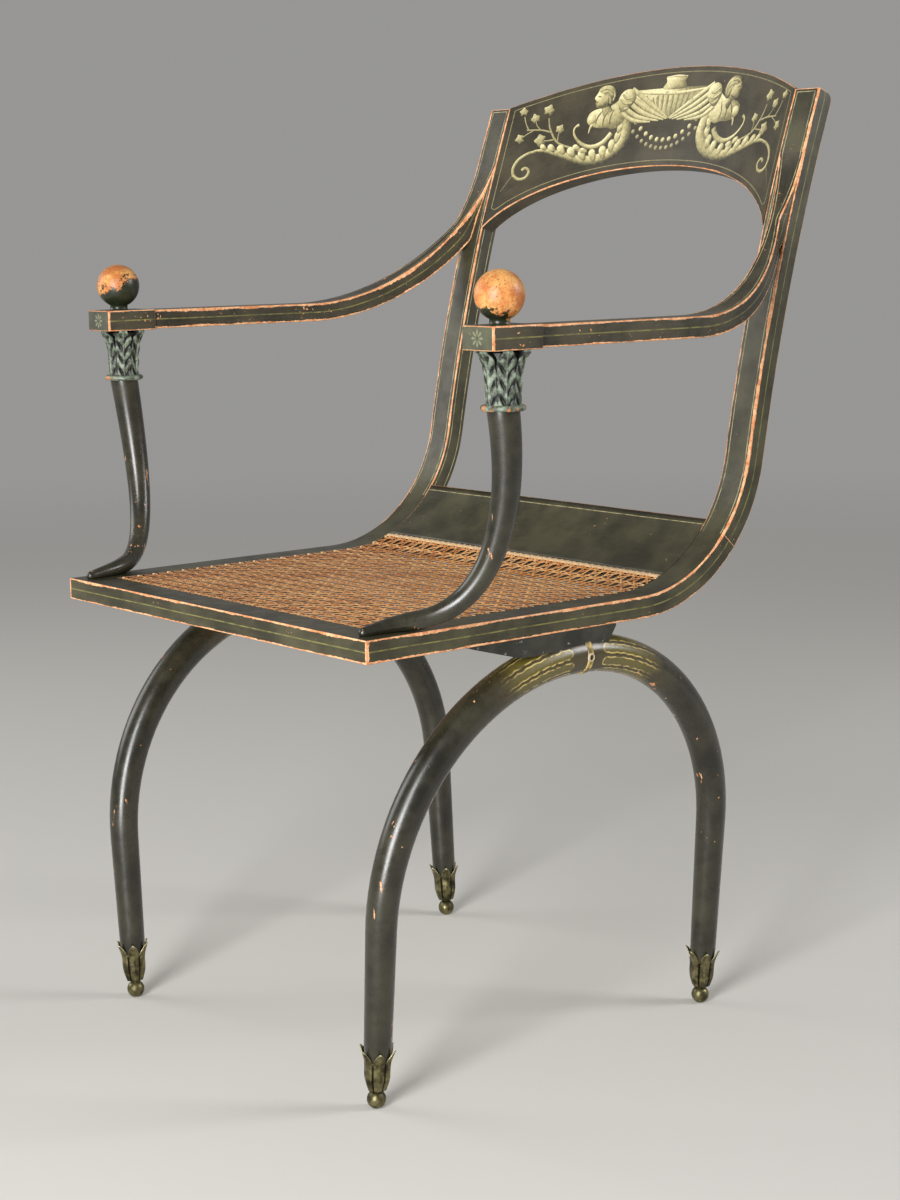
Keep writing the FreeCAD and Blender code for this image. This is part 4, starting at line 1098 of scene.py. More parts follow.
leg = {
    "front": 32.5,
    "back": 432.0,
    "crown": 245.0,
    "crownHeight": 371.8,
    "halfSpan": 217.0,
    "cant": 4.0,
    "collarSetback": 2.0,
    "radius": 17.2,
    "ankleRadius": 12.2,
    "taper": 1.15,
    "archStep": 3.0,
    "shankStep": 12.0,
    "footRadius": 8.4,
    "footFlat": 0.5,
    "footTop": 0.3,
    "footStep": 0.12,
    "neckRadius": 5.0,
    "neckFrom": 0.9,
    "neckHeight": 2.5,
    "neckRise": 2.0,
    "shoeHeight": 24.0,
    "tenonRadius": 10.2,
    "leafHeight": 14.0,
}
cantTurn = math.radians(leg["cant"])
footLocal = -(leg["crownHeight"] - leg["footRadius"] + leg["footFlat"]) / math.cos(cantTurn)
shoeBottom = footLocal + math.sqrt(leg["footRadius"] ** 2 - leg["neckRadius"] ** 2) + leg["neckHeight"]
ankle = shoeBottom + leg["shoeHeight"]


def legPlacement(side):
    return (Matrix.Translation(placed(leg["halfSpan"], leg["crown"], leg["crownHeight"], side))
            @ Matrix.Rotation(cantTurn * side, 4, "Y"))


def archPath(radius, way):
    # Places and directions from the butt joint round the arch and down to the shoe.
    found = []
    for turn in [math.radians(angle) for angle in steps(0.0, 90.0, leg["archStep"])]:
        found.append((Vector((0, way * radius * math.sin(turn), radius * (math.cos(turn) - 1))),
                      Vector((0, way * math.cos(turn), -math.sin(turn)))))
    for height in steps(-radius, ankle + leg["leafHeight"], leg["shankStep"])[1:]:
        found.append((Vector((0, way * radius, height)), Vector((0, 0, -1))))
    return found


def legHorn(side, label, radius, way):
    path = archPath(radius, way)
    lengths = lengthsAlong([place for place, direction in path])
    placement = legPlacement(side)
    turn = placement.to_3x3()
    stations = []
    for (place, direction), length in zip(path, lengths):
        thinned = (length / lengths[-1]) ** leg["taper"]
        thick = leg["radius"] + (leg["ankleRadius"] - leg["radius"]) * thinned
        stations.append((placement @ place, turn @ direction, thick))
    down = turn @ Vector((0, 0, -1))
    stations.append((stations[-1][0] + down * leg["leafHeight"], down, leg["tenonRadius"]))
    settle(tubePiece("leg horn " + label, stations, hornPaint, 48, True), "painted_horn",
           "leg_horn_" + label.replace(" ", "_"))


shoeForm = {
    "low": 7.6,
    "belly": 11.0,
    "bellyHeight": 15.0,
    "leaves": 6,
    "around": 144,
    "rows": 22,
    "valleyHeight": 26.5,
    "tipHeight": 38.0,
    "flareFrom": 21.0,
    "flare": 5.0,
    "wall": 0.9,
    "innerRows": (1.0, 0.9, 0.8, 0.7, 0.6),
}


def leafCup(turn, rise):
    # Radius, height and tone of a cup of upright leaves, at a turn and a share of the way to its ragged rim.
    across = 2 * ((turn * shoeForm["leaves"] / (2 * math.pi)) % 1.0) - 1
    point = shoeForm["tipHeight"] - shoeForm["valleyHeight"]
    top = shoeForm["valleyHeight"] + point * (1 - abs(across) ** 1.3)
    height = top * rise
    swell = math.sin(min(height / shoeForm["bellyHeight"], 1.0) * math.pi / 2)
    body = shoeForm["low"] + (shoeForm["belly"] - shoeForm["low"]) * swell
    bent = max(height - shoeForm["flareFrom"], 0.0) / (shoeForm["tipHeight"] - shoeForm["flareFrom"])
    groove = bell(1 - abs(across), 0.14)
    ridge = bell(across, 0.17)
    radius = body + 0.5 * (1 - across ** 2) + 0.6 * ridge - 0.8 * groove + shoeForm["flare"] * bent ** 1.8
    # tone: low in the grooves for painted shade, high on the ridges and at the rim for painted highlight and
    # rubbing
    tone = 0.42 + 0.35 * ridge - 0.5 * groove * (1 - bent) + 0.5 * ramp(rise, 0.93, 1.0)
    return radius, height, tone


def footParts(side, label, along):
    placement = legPlacement(side)
    shoe = placement @ Matrix.Translation(Vector((0, along, shoeBottom)))
    rises = [(row / shoeForm["rows"], 0.0) for row in range(shoeForm["rows"] + 1)]
    rises += [(share, shoeForm["wall"]) for share in shoeForm["innerRows"]]
    node = label.replace(" ", "_")
    settle(leafPiece("leaf shoe " + label, rises, shoeForm["around"], leafCup, shoe, shoeBrass), "brass",
           "leaf_shoe_" + node)
    radius = leg["footRadius"]
    low = math.acos((radius - leg["footFlat"]) / radius)
    angles = steps(math.pi - low, leg["footTop"], leg["footStep"])
    ball = [(radius * math.sin(angle), radius * math.cos(angle)) for angle in angles]
    ball += [(leg["neckRadius"], radius * leg["neckFrom"]), (leg["neckRadius"], radius + leg["neckRise"])]
    centre = Matrix.Translation(placement @ Vector((0, along, footLocal)))
    settle(lathePiece("ball foot " + label, ball, centre, brass, 32), "brass", "ball_foot_" + node)


for label, side in sides:
    for end, way in (("front", -1), ("back", 1)):
        radius = abs(leg["crown"] - leg[end])
        legHorn(side, end + " " + label, radius, way)
        footParts(side, end + " " + label, way * radius)

# Striped collars over the butt joints, each with a peg hole, a disc of painted shade in a pale rim, on its
# outer side

collar = {
    "bands": (-1.9, 2.1),
    "bandHalf": 1.5,
    "proud": 1.0,
    "gap": 0.1,
    "bite": 0.6,
    "rim": ((2.3, 0.0), (2.3, 1.5), (3.0, 2.0), (3.9, 1.3), (3.9, 0.0)),
    "dark": ((2.5, 0.0), (2.5, 1.3), (0.1, 1.3)),
}


def archCollar(side, label):
    middle = legPlacement(side) @ Matrix.Translation(Vector((0, leg["collarSetback"], 0)))
    radius = leg["radius"] + collar["gap"]
    inner = radius - collar["bite"]
    profile = [(inner, collar["bands"][0] - collar["bandHalf"])]
    for centre in collar["bands"]:
        for share in (-1.0, -0.7, 0.0, 0.7, 1.0):
            profile.append((radius + collar["proud"] * (1 - share ** 2), centre + share * collar["bandHalf"]))
    profile.append((inner, collar["bands"][1] + collar["bandHalf"]))
    around = middle @ Matrix.Rotation(-math.pi / 2, 4, "X")
    settle(lathePiece("arch collar " + label, profile, around, collarPaint, 72), "painted_horn",
           "arch_collar_" + label)
    outward = middle @ Matrix.Rotation(side * math.pi / 2, 4, "Y")
    outward = outward @ Matrix.Translation(Vector((0, 0, leg["radius"] - collar["bite"])))
    settle(lathePiece("collar hole rim " + label, collar["rim"], outward, rimWhite, 24), "painted_horn")
    # a near-black disc inside the rim stands for the hole: painted shade
    settle(lathePiece("collar hole " + label, collar["dark"], outward, holeShade, 24), "painted_horn")


for label, side in sides:
    archCollar(side, label)
print("legs built")

# Crest board: a piece of a leaning tube, arched above and below

crest = {
    "recline": 19.0,
    "radius": 530.0,
    "thickness": 16.0,
    "height": 105.0,
    "shoulder": 1.5,
    "topRadius": 440.0,
    "archHalfWidth": 212.0,
    "archRise": 114.0,
    "step": 6.0,
}
crestStyle = {
    "arris": 1.1,
    "rub": ((0.9, 1.3), (1.2, 0.7), (0.5, 0.5), (0.6, 1.3)),
    "lines": plainFaces,
}
crestPlacement = (Matrix.Translation(placed(0.0, *onSweep(topLean, 0.0)))
                  @ Matrix.Rotation(-math.radians(crest["recline"]), 4, "X"))
crestCentre = -math.sqrt(crest["radius"] ** 2 - innerHalfWidth ** 2)
crestTopCentre = crest["shoulder"] - math.sqrt(crest["topRadius"] ** 2 - innerHalfWidth ** 2)
crestArchCentre = crestTopCentre + crest["topRadius"] - crest["height"] - crest["archRise"]


def crestTop(across):
    return crestTopCentre + math.sqrt(crest["topRadius"] ** 2 - across ** 2)


def crestBottom(across):
    share = across / crest["archHalfWidth"]
    return crestArchCentre + crest["archRise"] * math.sqrt(max(1 - share ** 2, 0.0))


def onCrest(across, up, behind=0.0):
    # A place on the crest's hollow face, by its way across and up, so far behind the face.
    inward = math.sqrt((crest["radius"] + behind) ** 2 - across ** 2) + crestCentre
    return crestPlacement @ Vector((across, inward, up))


def crestBoard():
    stations = []
    for across in steps(-innerHalfWidth, innerHalfWidth, crest["step"]):
        top, bottom = crestTop(across), crestBottom(across)
        spots = ((top, 0.0), (bottom, 0.0), (bottom, crest["thickness"]), (top, crest["thickness"]))
        stations.append([onCrest(across, up, behind) for up, behind in spots])
    settle(barPiece("crest board", stations, crestStyle, crestPaint), "painted_crest", "crest_panel")


crestBoard()
print("crest built")

# Painted ornament on the crest: strokes and rounded patches of paint lying on its hollow face, drawn for
# the left half and mirrored. Places are (across, up) in millimetres.

brushwork = {
    "light": (-0.58, 0.55, 0.6),
    "spill": 0.15,
    "falloff": 1.25,
    "roundness": 0.95,
    "leastHalfWidth": 0.2,
}
paintLight = Vector(brushwork["light"]).normalized()


def smoothPath(knots, perSpan):
    # A rounded path of place and half width through knots of (across, up, half width).
    knots = [Vector(knot) for knot in knots]
    last = len(knots) - 1
    spots = []
    for index in range(last):
        around = [knots[min(max(index + step, 0), last)] for step in (-1, 0, 1, 2)]
        spots += [onCurve(around, step / perSpan) for step in range(perSpan)]
    return [(Vector((spot.x, spot.y, 0.0)), spot.z) for spot in spots + knots[-1:]]


def toneOf(tilt, tone):
    # How light a rounded place is painted, between two tones, by how far it tilts.
    facing = tilt + Vector((0, 0, math.sqrt(1 - tilt.length_squared)))
    lit = max(facing.normalized().dot(paintLight) + brushwork["spill"], 0.0) / (1 + brushwork["spill"])
    return tone[0] + (tone[1] - tone[0]) * lit ** brushwork["falloff"]


class Sheet:
    # A mesh under way, made of strips of quads.
    def __init__(self):
        self.points = []
        self.faces = []
        self.corners = []

    def add(self, rows, corners, closed):
        start = len(self.points)
        count = len(rows[0])
        self.points.extend(point for row in rows for point in row)
        for quad in quads(len(rows), count, closed):
            self.faces.append(tuple(start + row * count + place for row, place in quad))
            self.corners.extend(corners[row][place] for row, place in quad)

    def piece(self, name, material):
        return newPiece(name, self.points, self.faces, self.corners, material)


class PaintSheet(Sheet):
    def lay(self, rows, lift, tone, strength, closed):
        # Lays rows of place and tilt on the crest.
        points = [[onCrest(place.x, place.y, -lift) for place, tilt in row] for row in rows]
        corners = [[((toneOf(tilt, tone), strength),) for place, tilt in row] for row in rows]
        self.add(points, corners, closed)

    def stroke(self, knots, lift, tone, strength=1.0, perSpan=6):
        # A rounded stroke through knots of (across, up, half width).
        rows = []
        for place, direction, half in withDirections(smoothPath(knots, perSpan)):
            aside = Vector((-direction.y, direction.x, 0.0))
            ways = [aside * share for share in (-1.0, -0.75, -0.4, 0.0, 0.4, 0.75, 1.0)]
            half = max(half, brushwork["leastHalfWidth"])
            rows.append([(place + way * half, way * brushwork["roundness"]) for way in ways])
        self.lay(rows, lift, tone, strength, False)

    def patch(self, outline, lift, tone, strength=1.0, centre=None, smooth=3):
        # A rounded patch inside a closed outline.
        knots = [Vector((x, up, 0.0)) for x, up in outline]
        count = len(knots)
        middle = Vector(centre).to_3d() if centre else sum(knots, Vector()) / count
        edge = []
        for index in range(count):
            around = [knots[(index + step) % count] for step in (-1, 0, 1, 2)]
            edge += [onCurve(around, step / smooth) - middle for step in range(smooth)]
        rows = []
        for share in (1.0, 0.85, 0.65, 0.4, 0.18, 0.02):
            slope = share ** 1.5 * brushwork["roundness"]
            rows.append([(middle + way * share, way.normalized() * slope) for way in edge])
        self.lay(rows, lift, tone, strength, True)


def flipped(spots, side):
    # Spots drawn for the left half, or the same spots mirrored.
    return [(spot[0] * side,) + tuple(spot[1:]) for spot in spots]


sphinx = {
    "tail": ((-65, 6, 6.0), (-57, -9, 7.6), (-55, -24, 8.0), (-63, -38, 7.6), (-80, -47.5, 6.2),
             (-99, -50, 5.2), (-117, -47.5, 4.2), (-135, -44, 3.4), (-150, -42, 2.4), (-162, -43.5, 1.3)),
    "scroll": ((-72, -20, 3.4), (-81, -31, 3.4), (-95, -35.5, 2.8), (-109, -31.5, 2.0), (-118.5, -23, 1.4),
               (-120, -16, 1.3), (-115.5, -12, 2.0)),
    "tendril": ((-158, -43, 1.4), (-168, -46.5, 1.5), (-177, -54, 1.7), (-181, -64, 1.7), (-178.5, -72, 1.7),
                (-171.5, -75.3, 1.7), (-164.5, -72.5, 1.6), (-162.5, -66, 1.5), (-167, -62.5, 1.5),
                (-171, -65.5, 1.8)),
    "tip": ((-179, -70, 0.9), (-184, -80, 0.7), (-189, -91, 0.5)),
    "torso": ((-66, 21), (-75, 14), (-83, 9), (-93, 7), (-101, 4.5), (-106.5, -0.5), (-107, -7.5),
              (-101.5, -12.5), (-90, -14.5), (-80, -14), (-71, -15), (-62, -9), (-57, 4), (-59, 15)),
    "breast": ((-98, -1), (-102.5, -0.5), (-106, -3.5), (-106, -8), (-102, -11), (-97.5, -9), (-96, -5)),
    "paw": ((-99, -11, 2.0), (-101, -15, 1.4), (-101.5, -20.5, 0.6)),
    "neck": ((-82.5, 1, 6.4), (-86.5, 7, 5.6), (-88.5, 13, 5.2)),
    "face": ((-93.5, 29.5), (-99.5, 27), (-102.1, 22), (-104.1, 17.5), (-101.9, 15.1), (-101.5, 11.7),
             (-99, 7.9), (-94.5, 6.5), (-87.5, 8), (-82.5, 11.5), (-79.5, 18.5), (-81.5, 26), (-87.5, 30)),
    "hair": ((-101, 26), (-97, 30.5), (-88.5, 32), (-81, 28.5), (-77, 21), (-78, 12.5), (-83, 9),
             (-86.5, 12), (-87, 18), (-91.5, 22), (-97, 23)),
    "curls": (((-98.5, 25.5, 1.0), (-93.5, 28, 1.2), (-86.5, 27.5, 1.0)),
              ((-94.5, 24, 0.9), (-88.5, 24.5, 1.1), (-82.5, 21.5, 0.9)),
              ((-88.5, 21, 0.9), (-84.5, 17.5, 1.1), (-83, 12.5, 0.9)),
              ((-82.5, 27, 0.8), (-79.5, 21.5, 1.0), (-80, 15.5, 0.8))),
    "shadows": (((-100.1, 19.1, 0.5), (-98.3, 19.7, 0.7), (-96.1, 18.9, 0.4)),
                ((-101.5, 13.6, 0.3), (-99.9, 13.3, 0.5), (-98.5, 13.7, 0.3)),
                ((-97.5, 9, 0.5), (-92.5, 9.3, 1.0), (-88, 12, 0.6)),
                ((-90, 5, 0.4), (-94.5, -2.5, 0.8), (-95.5, -10.5, 0.4)),
                ((-83, 4, 0.4), (-86.5, -4, 0.7), (-86, -12, 0.4)),
                ((-76, 6, 0.4), (-78.5, -3, 0.7), (-77, -11.5, 0.4))),
    "covert": ((-73, 16), (-69.5, 24.5), (-61.5, 28), (-54, 25.5), (-50.5, 17), (-56, 8), (-65, 2.5),
               (-70.5, 8)),
    "feathers": (((-58, 28, 2.4), (-30, 12, 2.9), (-1, -4.4, 0.8)),
                 ((-62, 23, 2.4), (-34, 7, 2.9), (-2.5, -5.4, 0.8)),
                 ((-64, 17, 2.4), (-38, 2.4, 2.8), (-6, -6.3, 0.7)),
                 ((-66, 10, 2.2), (-43, -2.2, 2.6), (-13, -7, 0.7)),
                 ((-66, 3, 2.0), (-48, -6, 2.3), (-24, -8, 0.7))),
    "plumes": (((-69, 22, 1.2), (-62, 17.5, 1.5), (-56, 18.5, 1.0)),
               ((-71, 16.5, 1.2), (-63, 12, 1.5), (-55, 13, 1.0)),
               ((-69, 10, 1.1), (-63, 6.5, 1.4), (-58, 7.5, 1.0))),
    "lobes": ((-152, -38.6, 4.2, 150), (-142, -39, 5.2, 145), (-130, -40, 6.0, 140), (-117, -42, 6.4, 135),
              (-103, -44.5, 6.4, 130), (-90, -44, 6.6, 122), (-78, -40.5, 6.8, 110), (-68.5, -33.5, 6.6, 95),
              (-63.5, -24, 6.2, 85), (-63, -14, 5.4, 80), (-112.5, -36.2, 4.4, 165), (-103, -39.4, 4.6, 175)),
}
vine = {
    "stems": (((-104, -40, 1.3), (-122, -36.5, 1.2), (-134, -33.5, 1.2), (-141, -29, 1.2), (-147, -21.5, 1.1),
               (-151, -15, 0.9), (-154, -6, 0.6)), ((-147, -21.5, 1.0), (-160, -20, 0.9), (-176, -21.5, 0.7)),
              ((-174, -21, 0.7), (-179, -14, 0.6), (-182, -7, 0.5)),
              ((-160, -20, 0.6), (-166, -15, 0.5), (-168, -10, 0.4)),
              ((-141, -29, 0.8), (-150, -31, 0.7), (-156, -31, 0.5)),
              ((-168, -21, 0.6), (-175, -26, 0.5), (-180, -31, 0.4)),
              ((-137, -31, 0.6), (-138, -26, 0.5), (-138, -20, 0.4))),
    "leaves": ((-156, 1.6, 7.2, 80), (-169, -8.5, 6.2, 120), (-184, -2.5, 5.6, 100), (-181, -31.5, 6.0, 200),
               (-157, -31, 8.0, 190), (-138, -18, 6.0, 70)),
}
urn = {
    "body": ((-60, 24.5), (-42, 26.5), (-18, 27.5), (0, 27.8), (18, 27.5), (42, 26.5), (60, 24.5), (53, 16),
             (40, 8), (22, 0), (0, -5.5), (-22, 0), (-40, 8), (-53, 16)),
    "neck": ((-15, 39.5), (-5, 40), (5, 40), (15, 39.5), (13.2, 34), (17, 27), (6, 25.8), (-6, 25.8),
             (-17, 27), (-13.2, 34)),
    "mouth": ((-14.5, 39, 0.5), (0, 40, 1.2), (14.5, 39, 0.5)),
    "lip": ((-60, 24.5, 0.8), (-36, 23, 1.5), (0, 21.6, 1.8), (36, 23, 1.5), (60, 24.5, 0.8)),
    "centre": (0.0, 13.0),
    "flutes": 13,
    "fluteReach": 44.0,
    "fluteTop": 20.0,
    "fluteFoot": -4.0,
}
swags = ((43.0, -8.0, 20.0, 11, 2.9, 0.95), (44.0, -18.0, 18.5, 13, 2.5, 0.55))
border = {
    "inset": 6.0,
    "cornerRise": 2.4,
    "follow": 0.9,
    "step": 8.0,
    "halfWidth": 0.5,
    "strength": 0.62,
    "tone": (0.3, 0.62),
}


leafShapes = {
    "lobe": ((1.1, 0.0), (0.85, 0.5), (0.1, 0.64), (-1.0, 0.3), (-1.0, -0.3), (0.1, -0.64), (0.85, -0.5)),
    "ivyReach": (1.05, 0.72, 0.92, 0.66, 0.8, 0.4, 0.8, 0.66, 0.92, 0.72),
}
ivy = []
for number, reach in enumerate(leafShapes["ivyReach"]):
    ivy += turned([(reach, 0.0)], math.radians(36 * number))


def leavesAt(outline, places):
    # Copies of a leaf at places of (across, up, size, turn).
    return [[(x + size * ahead, up + size * aside) for ahead, aside in turned(outline, math.radians(turn))]
            for x, up, size, turn in places]


def paintHalf(sheet, side):
    def strokes(lines, lift, tone, strength=1.0):
        for knots in lines:
            sheet.stroke(flipped(knots, side), lift, tone, strength)

    def patches(outlines, lift, tone, strength=1.0):
        for outline in outlines:
            sheet.patch(flipped(outline, side), lift, tone, strength)

    strokes(vine["stems"], 0.10, (0.3, 0.8), 0.8)
    patches(leavesAt(ivy, vine["leaves"]), 0.14, (0.25, 0.85), 0.85)
    strokes([sphinx["tip"]], 0.10, (0.2, 0.5), 0.5)
    strokes([sphinx["tendril"]], 0.12, (0.25, 0.85), 0.9)
    strokes([sphinx["tail"]], 0.16, (0.0, 0.95))
    strokes([sphinx["scroll"]], 0.20, (0.05, 1.0))
    patches(leavesAt(leafShapes["lobe"], sphinx["lobes"]), 0.23, (0.3, 1.0))
    patches([sphinx["torso"]], 0.26, (0.3, 1.0))
    strokes([sphinx["paw"]], 0.28, (0.2, 0.9))
    strokes([sphinx["neck"]], 0.29, (0.05, 0.85))
    patches([sphinx["breast"]], 0.31, (0.42, 1.0))
    patches([sphinx["face"]], 0.33, (0.15, 1.05))
    patches([sphinx["hair"]], 0.36, (0.0, 0.75))
    strokes(sphinx["curls"], 0.39, (0.15, 0.85))
    strokes(sphinx["shadows"], 0.39, (0.2, 0.3), 0.6)
    strokes(reversed(sphinx["feathers"]), 0.36, (0.25, 1.0))
    patches([sphinx["covert"]], 0.40, (0.2, 1.0))
    strokes(sphinx["plumes"], 0.43, (0.2, 0.95), 0.9)


def paintUrn(sheet):
    sheet.patch(urn["body"], 0.22, (0.25, 0.95), 1.0, urn["centre"])
    top = urn["fluteTop"]
    for number in range(urn["flutes"]):
        across = urn["fluteReach"] * (-1 + 2 * number / (urn["flutes"] - 1))
        low = urn["fluteFoot"] + 0.5 * abs(across)
        knots = ((across, top, 1.5), (across * 0.93, (top + low) / 2, 1.7), (across * 0.8, low, 0.8))
        sheet.stroke(knots, 0.26, (0.3, 0.85), 0.6)
    sheet.patch(urn["neck"], 0.28, (0.25, 1.0))
    sheet.stroke(urn["lip"], 0.31, (0.35, 1.1))
    sheet.stroke(urn["mouth"], 0.31, (0.4, 1.1))


def paintSwags(sheet):
    circle = [(math.cos(step * math.pi / 4), math.sin(step * math.pi / 4)) for step in range(8)]
    for half, top, fall, beads, size, strength in swags:
        for number in range(beads):
            x = half * (-1 + 2 * number / (beads - 1))
            up = top - fall * (1 - (x / half) ** 2)
            ring = [(x + size * cos, up + size * sin) for cos, sin in circle]
            sheet.patch(ring, 0.14, (0.1, 1.05), strength, None, 2)


def paintBorder(sheet):
    # A thin line inside the board's four edges.
    inset = border["inset"]
    reach = innerHalfWidth - inset
    spots = steps(-reach, reach, border["step"])
    corner = crestBottom(reach) + border["cornerRise"] * inset
    lower = [(-reach, corner), (reach, corner)]
    for x in spots:
        slope = crestBottom(x + 0.5) - crestBottom(x - 0.5)
        away = math.sqrt(1 + slope ** 2)
        spot = (x - inset * slope / away * border["follow"], crestBottom(x) + inset / away)
        if abs(spot[0]) <= reach:
            lower.append(spot)
    lower.sort()
    lines = [[(x, crestTop(x) - inset) for x in spots], lower]
    for side in (1, -1):
        heights = steps(crestTop(reach) - inset, lower[0][1], border["step"])
        lines.append([(reach * side, up) for up in heights])
    for line in lines:
        knots = [(x, up, border["halfWidth"]) for x, up in line]
        sheet.stroke(knots, 0.1, border["tone"], border["strength"], 2)


def crestOrnament():
    sheet = PaintSheet()
    paintUrn(sheet)
    for side in (1, -1):
        paintHalf(sheet, side)
    paintSwags(sheet)
    paintBorder(sheet)
    settle(sheet.piece("crest ornament", grisaille), "painted_crest")


crestOrnament()
print("ornament painted")

# Woven cane: pairs both ways and two sets of diagonals over the bent seat

weave = {
    "pitch": 17.0,
    "pairShift": 0.25,
    "rowApart": 3.6,
    "width": 2.5,
    "diagonalWidth": 2.7,
    "thickness": 0.9,
    "section": ((-0.5, -0.5), (0.5, -0.5), (0.36, 0.5), (-0.36, 0.5)),
    "wave": 0.45,
    "diagonalRise": 0.9,
    "diagonalSwing": 1.6,
    "depth": 1.1,
    "perPitch": 6,
    "edge": 0.8,
    "bindingWidth": 4.6,
    "bindingInset": 0.35,
    "bindingStep": 20.0,
    "bindingLift": 0.9,
    "stitch": ((-3.4, 0.6), (-1.5, 1.6), (1.2, 1.6)),
    "stitchWidth": 2.4,
    "stitchEnd": 0.4,
    "pegRadius": 1.5,
    "pegInset": 0.6,
    "pegLift": 0.7,
}
seatRun = sideFrame["bendStart"] - chair["frontRailFace"]
seatLength = seatRun + math.radians(board["frontAngle"]) * sideFrame["bendRadius"]


def onSeat(across, along, lift):
    # A place on the bent seat, by its way across and back from the front rail, over the cane's middle.
    drop = weave["depth"] - lift
    if along <= seatRun:
        return placed(across, chair["frontRailFace"] + along, chair["seatHeight"] - drop)
    return placed(across, *onBend(math.degrees((along - seatRun) / sideFrame["bendRadius"]), drop))


class CaneSheet(Sheet):
    def __init__(self):
        super().__init__()
        self.chance = random.Random(4)

    def strand(self, spots, width):
        # A flat strand with a rounded back through spots of (across, along, lift).
        tint = self.chance.random()
        rows = []
        corners = []
        far = 0.0
        for index, (x, run, lift) in enumerate(spots):
            before = spots[max(index - 1, 0)]
            after = spots[min(index + 1, len(spots) - 1)]
            way = Vector((after[0] - before[0], after[1] - before[1])).normalized() * width
            far += math.hypot(x - before[0], run - before[1])
            rows.append([onSeat(x - way.y * share, run + way.x * share, lift + rise * weave["thickness"])
                         for share, rise in weave["section"]])
            corners.append([((far, share * width), (tint, width)) for share, rise in weave["section"]])
        self.add(rows, corners, True)


def diagonalLift(run):
    # A diagonal dips under each pair of rows and rides over the strands and the diagonal between them.
    turn = weave["diagonalRise"] - weave["diagonalSwing"] * math.cos(2 * math.pi * run / weave["pitch"])
    return weave["wave"] * max(-1.0, min(1.0, turn))


canePitch = weave["pitch"]
caneReach = innerHalfWidth - weave["edge"]
caneNear = weave["edge"]
caneFar = seatLength - weave["edge"]
caneColumns = int(caneReach / canePitch)
caneRows = int((caneFar - caneNear) / canePitch)
firstRow = (caneNear + caneFar - caneRows * canePitch) / 2


def weaveSeat():
    sheet = CaneSheet()
    fine = canePitch / weave["perPitch"]
    for column in range(-caneColumns, caneColumns + 1):
        for shift in (-weave["pairShift"], weave["pairShift"]):
            x = (column + shift) * canePitch
            sheet.strand([(x, run, 0.0) for run in steps(caneNear, caneFar, canePitch)], weave["width"])
    for row in range(caneRows + 1):
        for shift in (-0.5, 0.5):
            run = firstRow + row * canePitch + shift * weave["rowApart"]
            height = 2 * shift * weave["wave"]
            sheet.strand([(x, run, height * math.sin(2 * math.pi * x / canePitch))
                          for x in steps(-caneReach, caneReach, fine)], weave["width"])
    for lean in (-1, 1):
        for number in range(-caneColumns - caneRows - 2, caneColumns + caneRows + 3):
            spots = []
            for run in steps(caneNear, caneFar, fine):
                x = number * canePitch + lean * (run - firstRow)
                if abs(x) <= caneReach:
                    spots.append((x, run, lean * diagonalLift(run - firstRow)))
            if len(spots) > 1:
                sheet.strand(spots, weave["diagonalWidth"])
    settle(sheet.piece("woven cane", cane), "woven_cane", "cane_seat")


def caneTrim():
    # The stitched binding along the seat board, and the pegs along the sides.
    sheet = CaneSheet()
    middle = caneFar - weave["bindingWidth"] * weave["bindingInset"]
    spots = steps(-caneReach, caneReach, weave["bindingStep"])
    sheet.strand([(x, middle, weave["bindingLift"]) for x in spots], weave["bindingWidth"])
    for stitch in range(-2 * caneColumns, 2 * caneColumns + 1):
        x = stitch * canePitch / 2
        spots = [(x, middle + way, lift) for way, lift in weave["stitch"]]
        sheet.strand(spots + [(x, caneFar + weave["stitchEnd"], weave["bindingLift"])], weave["stitchWidth"])
    settle(sheet.piece("cane binding", pegWood), "woven_cane")
    chance = random.Random(9)
    reach = caneReach - weave["pegInset"]
    for label, side in sides:
        for row in range(caneRows + 1):
            size = weave["pegRadius"] * chance.uniform(0.75, 1.1)
            dome = ((size, -0.8), (size, 0.2), (size * 0.7, 0.55), (0.1, 0.7))
            spot = onSeat(reach * side, firstRow + row * canePitch, weave["pegLift"])
            peg = lathePiece("cane peg %s %d" % (label, row), dome, Matrix.Translation(spot), pegWood, 12)
            settle(peg, "woven_cane")


weaveSeat()
caneTrim()
print("cane woven")

# Nodes that stay as they are take a painted or a bare finish

for name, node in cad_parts.items():
    if not node.hide_render:
        node.data.materials.clear()
        node.data.materials.append(dowelWood if "dowels" in name else saddlePaint)

# Studio: pale floor, soft light, camera where the photograph was taken from

studio = {
    "floorColour": "#c9c7c2",
    "floorRoughness": 0.85,
    "floorSize": 60.0,
    "fadeFrom": 1.6,
    "fadeTo": 5.0,
    "worldColour": "#c6c5c3",
    "worldStrength": 0.55,
    "lights": (
        ("key light", (1.3, -2.7, 1.2), (0.9, 2.2), 98.0),
        ("fill light", (-2.4, -1.6, 1.5), (1.6, 1.6), 26.0),
        ("rim light", (1.9, 1.9, 1.7), (1.0, 1.0), 40.0),
        ("strip light", (1.1, -2.3, 0.62), (0.95, 1.15), 32.0),
    ),
    "aim": (0.0, 0.0, 0.5),
}


def addObject(name, data):
    made = bpy.data.objects.new(name, data)
    bpy.context.scene.collection.objects.link(made)
    return made


def areaLight(name, place, size, power):
    lamp = bpy.data.lights.new(name, "AREA")
    lamp.shape = "RECTANGLE"
    lamp.size, lamp.size_y = size
    lamp.energy = power
    holder = addObject(name, lamp)
    holder.location = place
    holder.rotation_euler = (Vector(studio["aim"]) - Vector(place)).to_track_quat("-Z", "Y").to_euler()


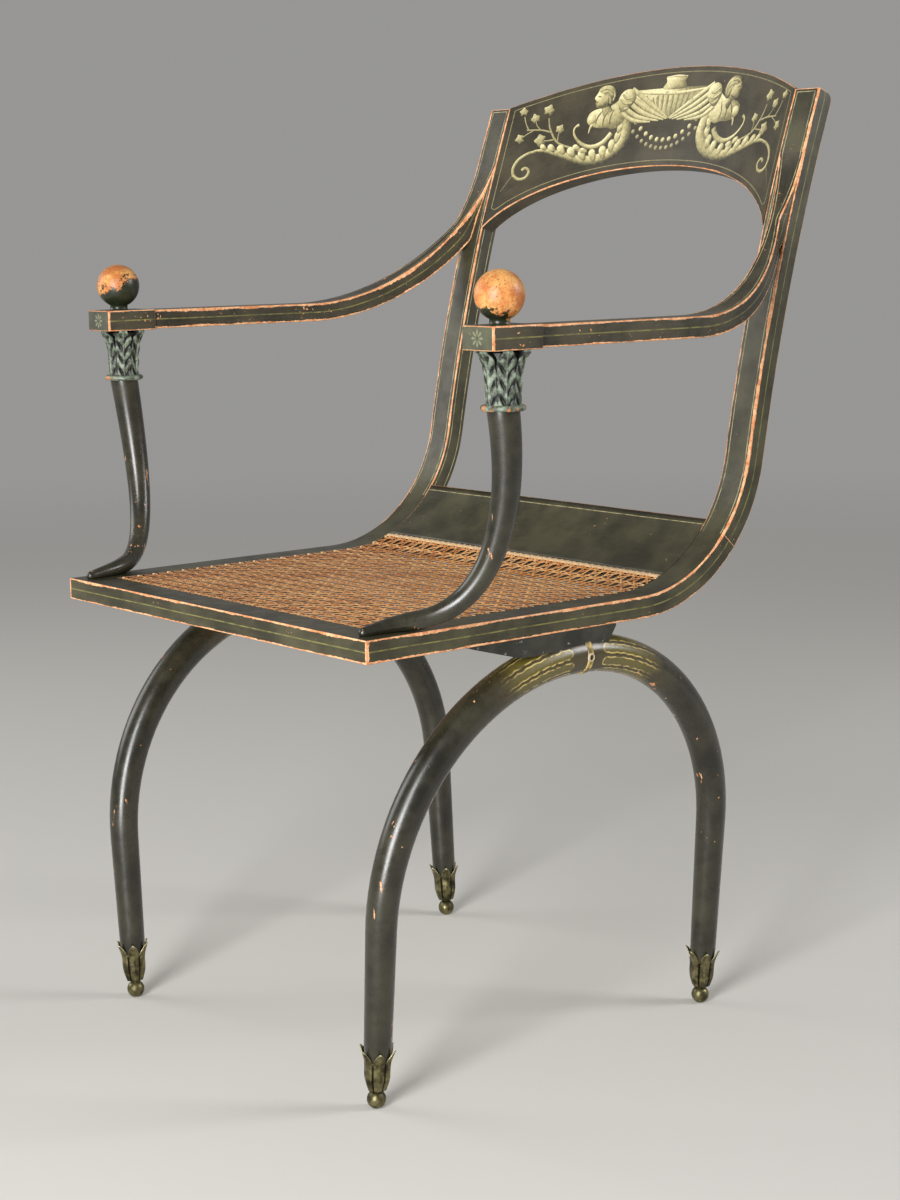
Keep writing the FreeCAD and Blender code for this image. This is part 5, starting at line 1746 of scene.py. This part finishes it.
def buildFloor():
    # Pale matt card that glows with the background's colour far from the chair, so that it fades into the
    # background.
    paint = Paint("pale studio floor")
    material = paint.finish(studio["floorColour"], studio["floorRoughness"])
    x, y = paint.parts(paint.place)
    share = maths("SQRT", x * x + y * y).step(studio["fadeFrom"], studio["fadeTo"])
    # far from the chair the floor glows: an emission of the background's colour, though it is no lamp
    farGlow = paint.signal("ShaderNodeEmission", None, studio["worldColour"], studio["worldStrength"])
    card = Signal(paint.tree, paint.shader.outputs[0])
    blend = paint.signal("ShaderNodeMixShader", None, share, card, farGlow)
    plug(paint.tree, paint.tree.nodes["Material Output"].inputs[0], blend)
    half = studio["floorSize"] / 2
    mesh = bpy.data.meshes.new("studio floor")
    corners = [(-half, -half, 0), (half, -half, 0), (half, half, 0), (-half, half, 0)]
    mesh.from_pydata(corners, [], [(0, 1, 2, 3)])
    mesh.materials.append(material)
    addObject("studio_floor", mesh)


def buildWorld():
    world = bpy.data.worlds.new("studio")
    world.use_nodes = True
    sky = world.node_tree.nodes["Background"]
    sky.inputs[0].default_value = linearColour(studio["worldColour"])
    sky.inputs[1].default_value = studio["worldStrength"]
    bpy.context.scene.world = world
    bpy.context.scene.view_settings.view_transform = "Standard"


view = {
    "place": (1651.5, -1407.8, 748.1),
    "yaw": 50.03,
    "pitch": 9.443,
    "roll": -0.727,
    "focalPixels": 2265.2,
    "photoHeight": 1200.0,
    "sensor": 36.0,
}


def buildCamera():
    yaw, pitch, roll = (math.radians(view[key]) for key in ("yaw", "pitch", "roll"))
    forward = Vector((-math.sin(yaw) * math.cos(pitch), math.cos(yaw) * math.cos(pitch), -math.sin(pitch)))
    level = Vector((math.cos(yaw), math.sin(yaw), 0.0))
    upward = level.cross(forward)
    right = level * math.cos(roll) + upward * math.sin(roll)
    top = upward * math.cos(roll) - level * math.sin(roll)
    lens = bpy.data.cameras.new("photo camera")
    lens.sensor_fit = "VERTICAL"
    lens.sensor_height = view["sensor"]
    lens.lens = view["focalPixels"] / view["photoHeight"] * view["sensor"]
    holder = addObject("photo camera", lens)
    turn = Matrix((right, top, -forward)).transposed().to_4x4()
    holder.matrix_world = Matrix.Translation(Vector(view["place"]) * metre) @ turn
    bpy.context.scene.camera = holder


buildFloor()
buildWorld()
for light in studio["lights"]:
    areaLight(*light)
buildCamera()
print("studio ready")
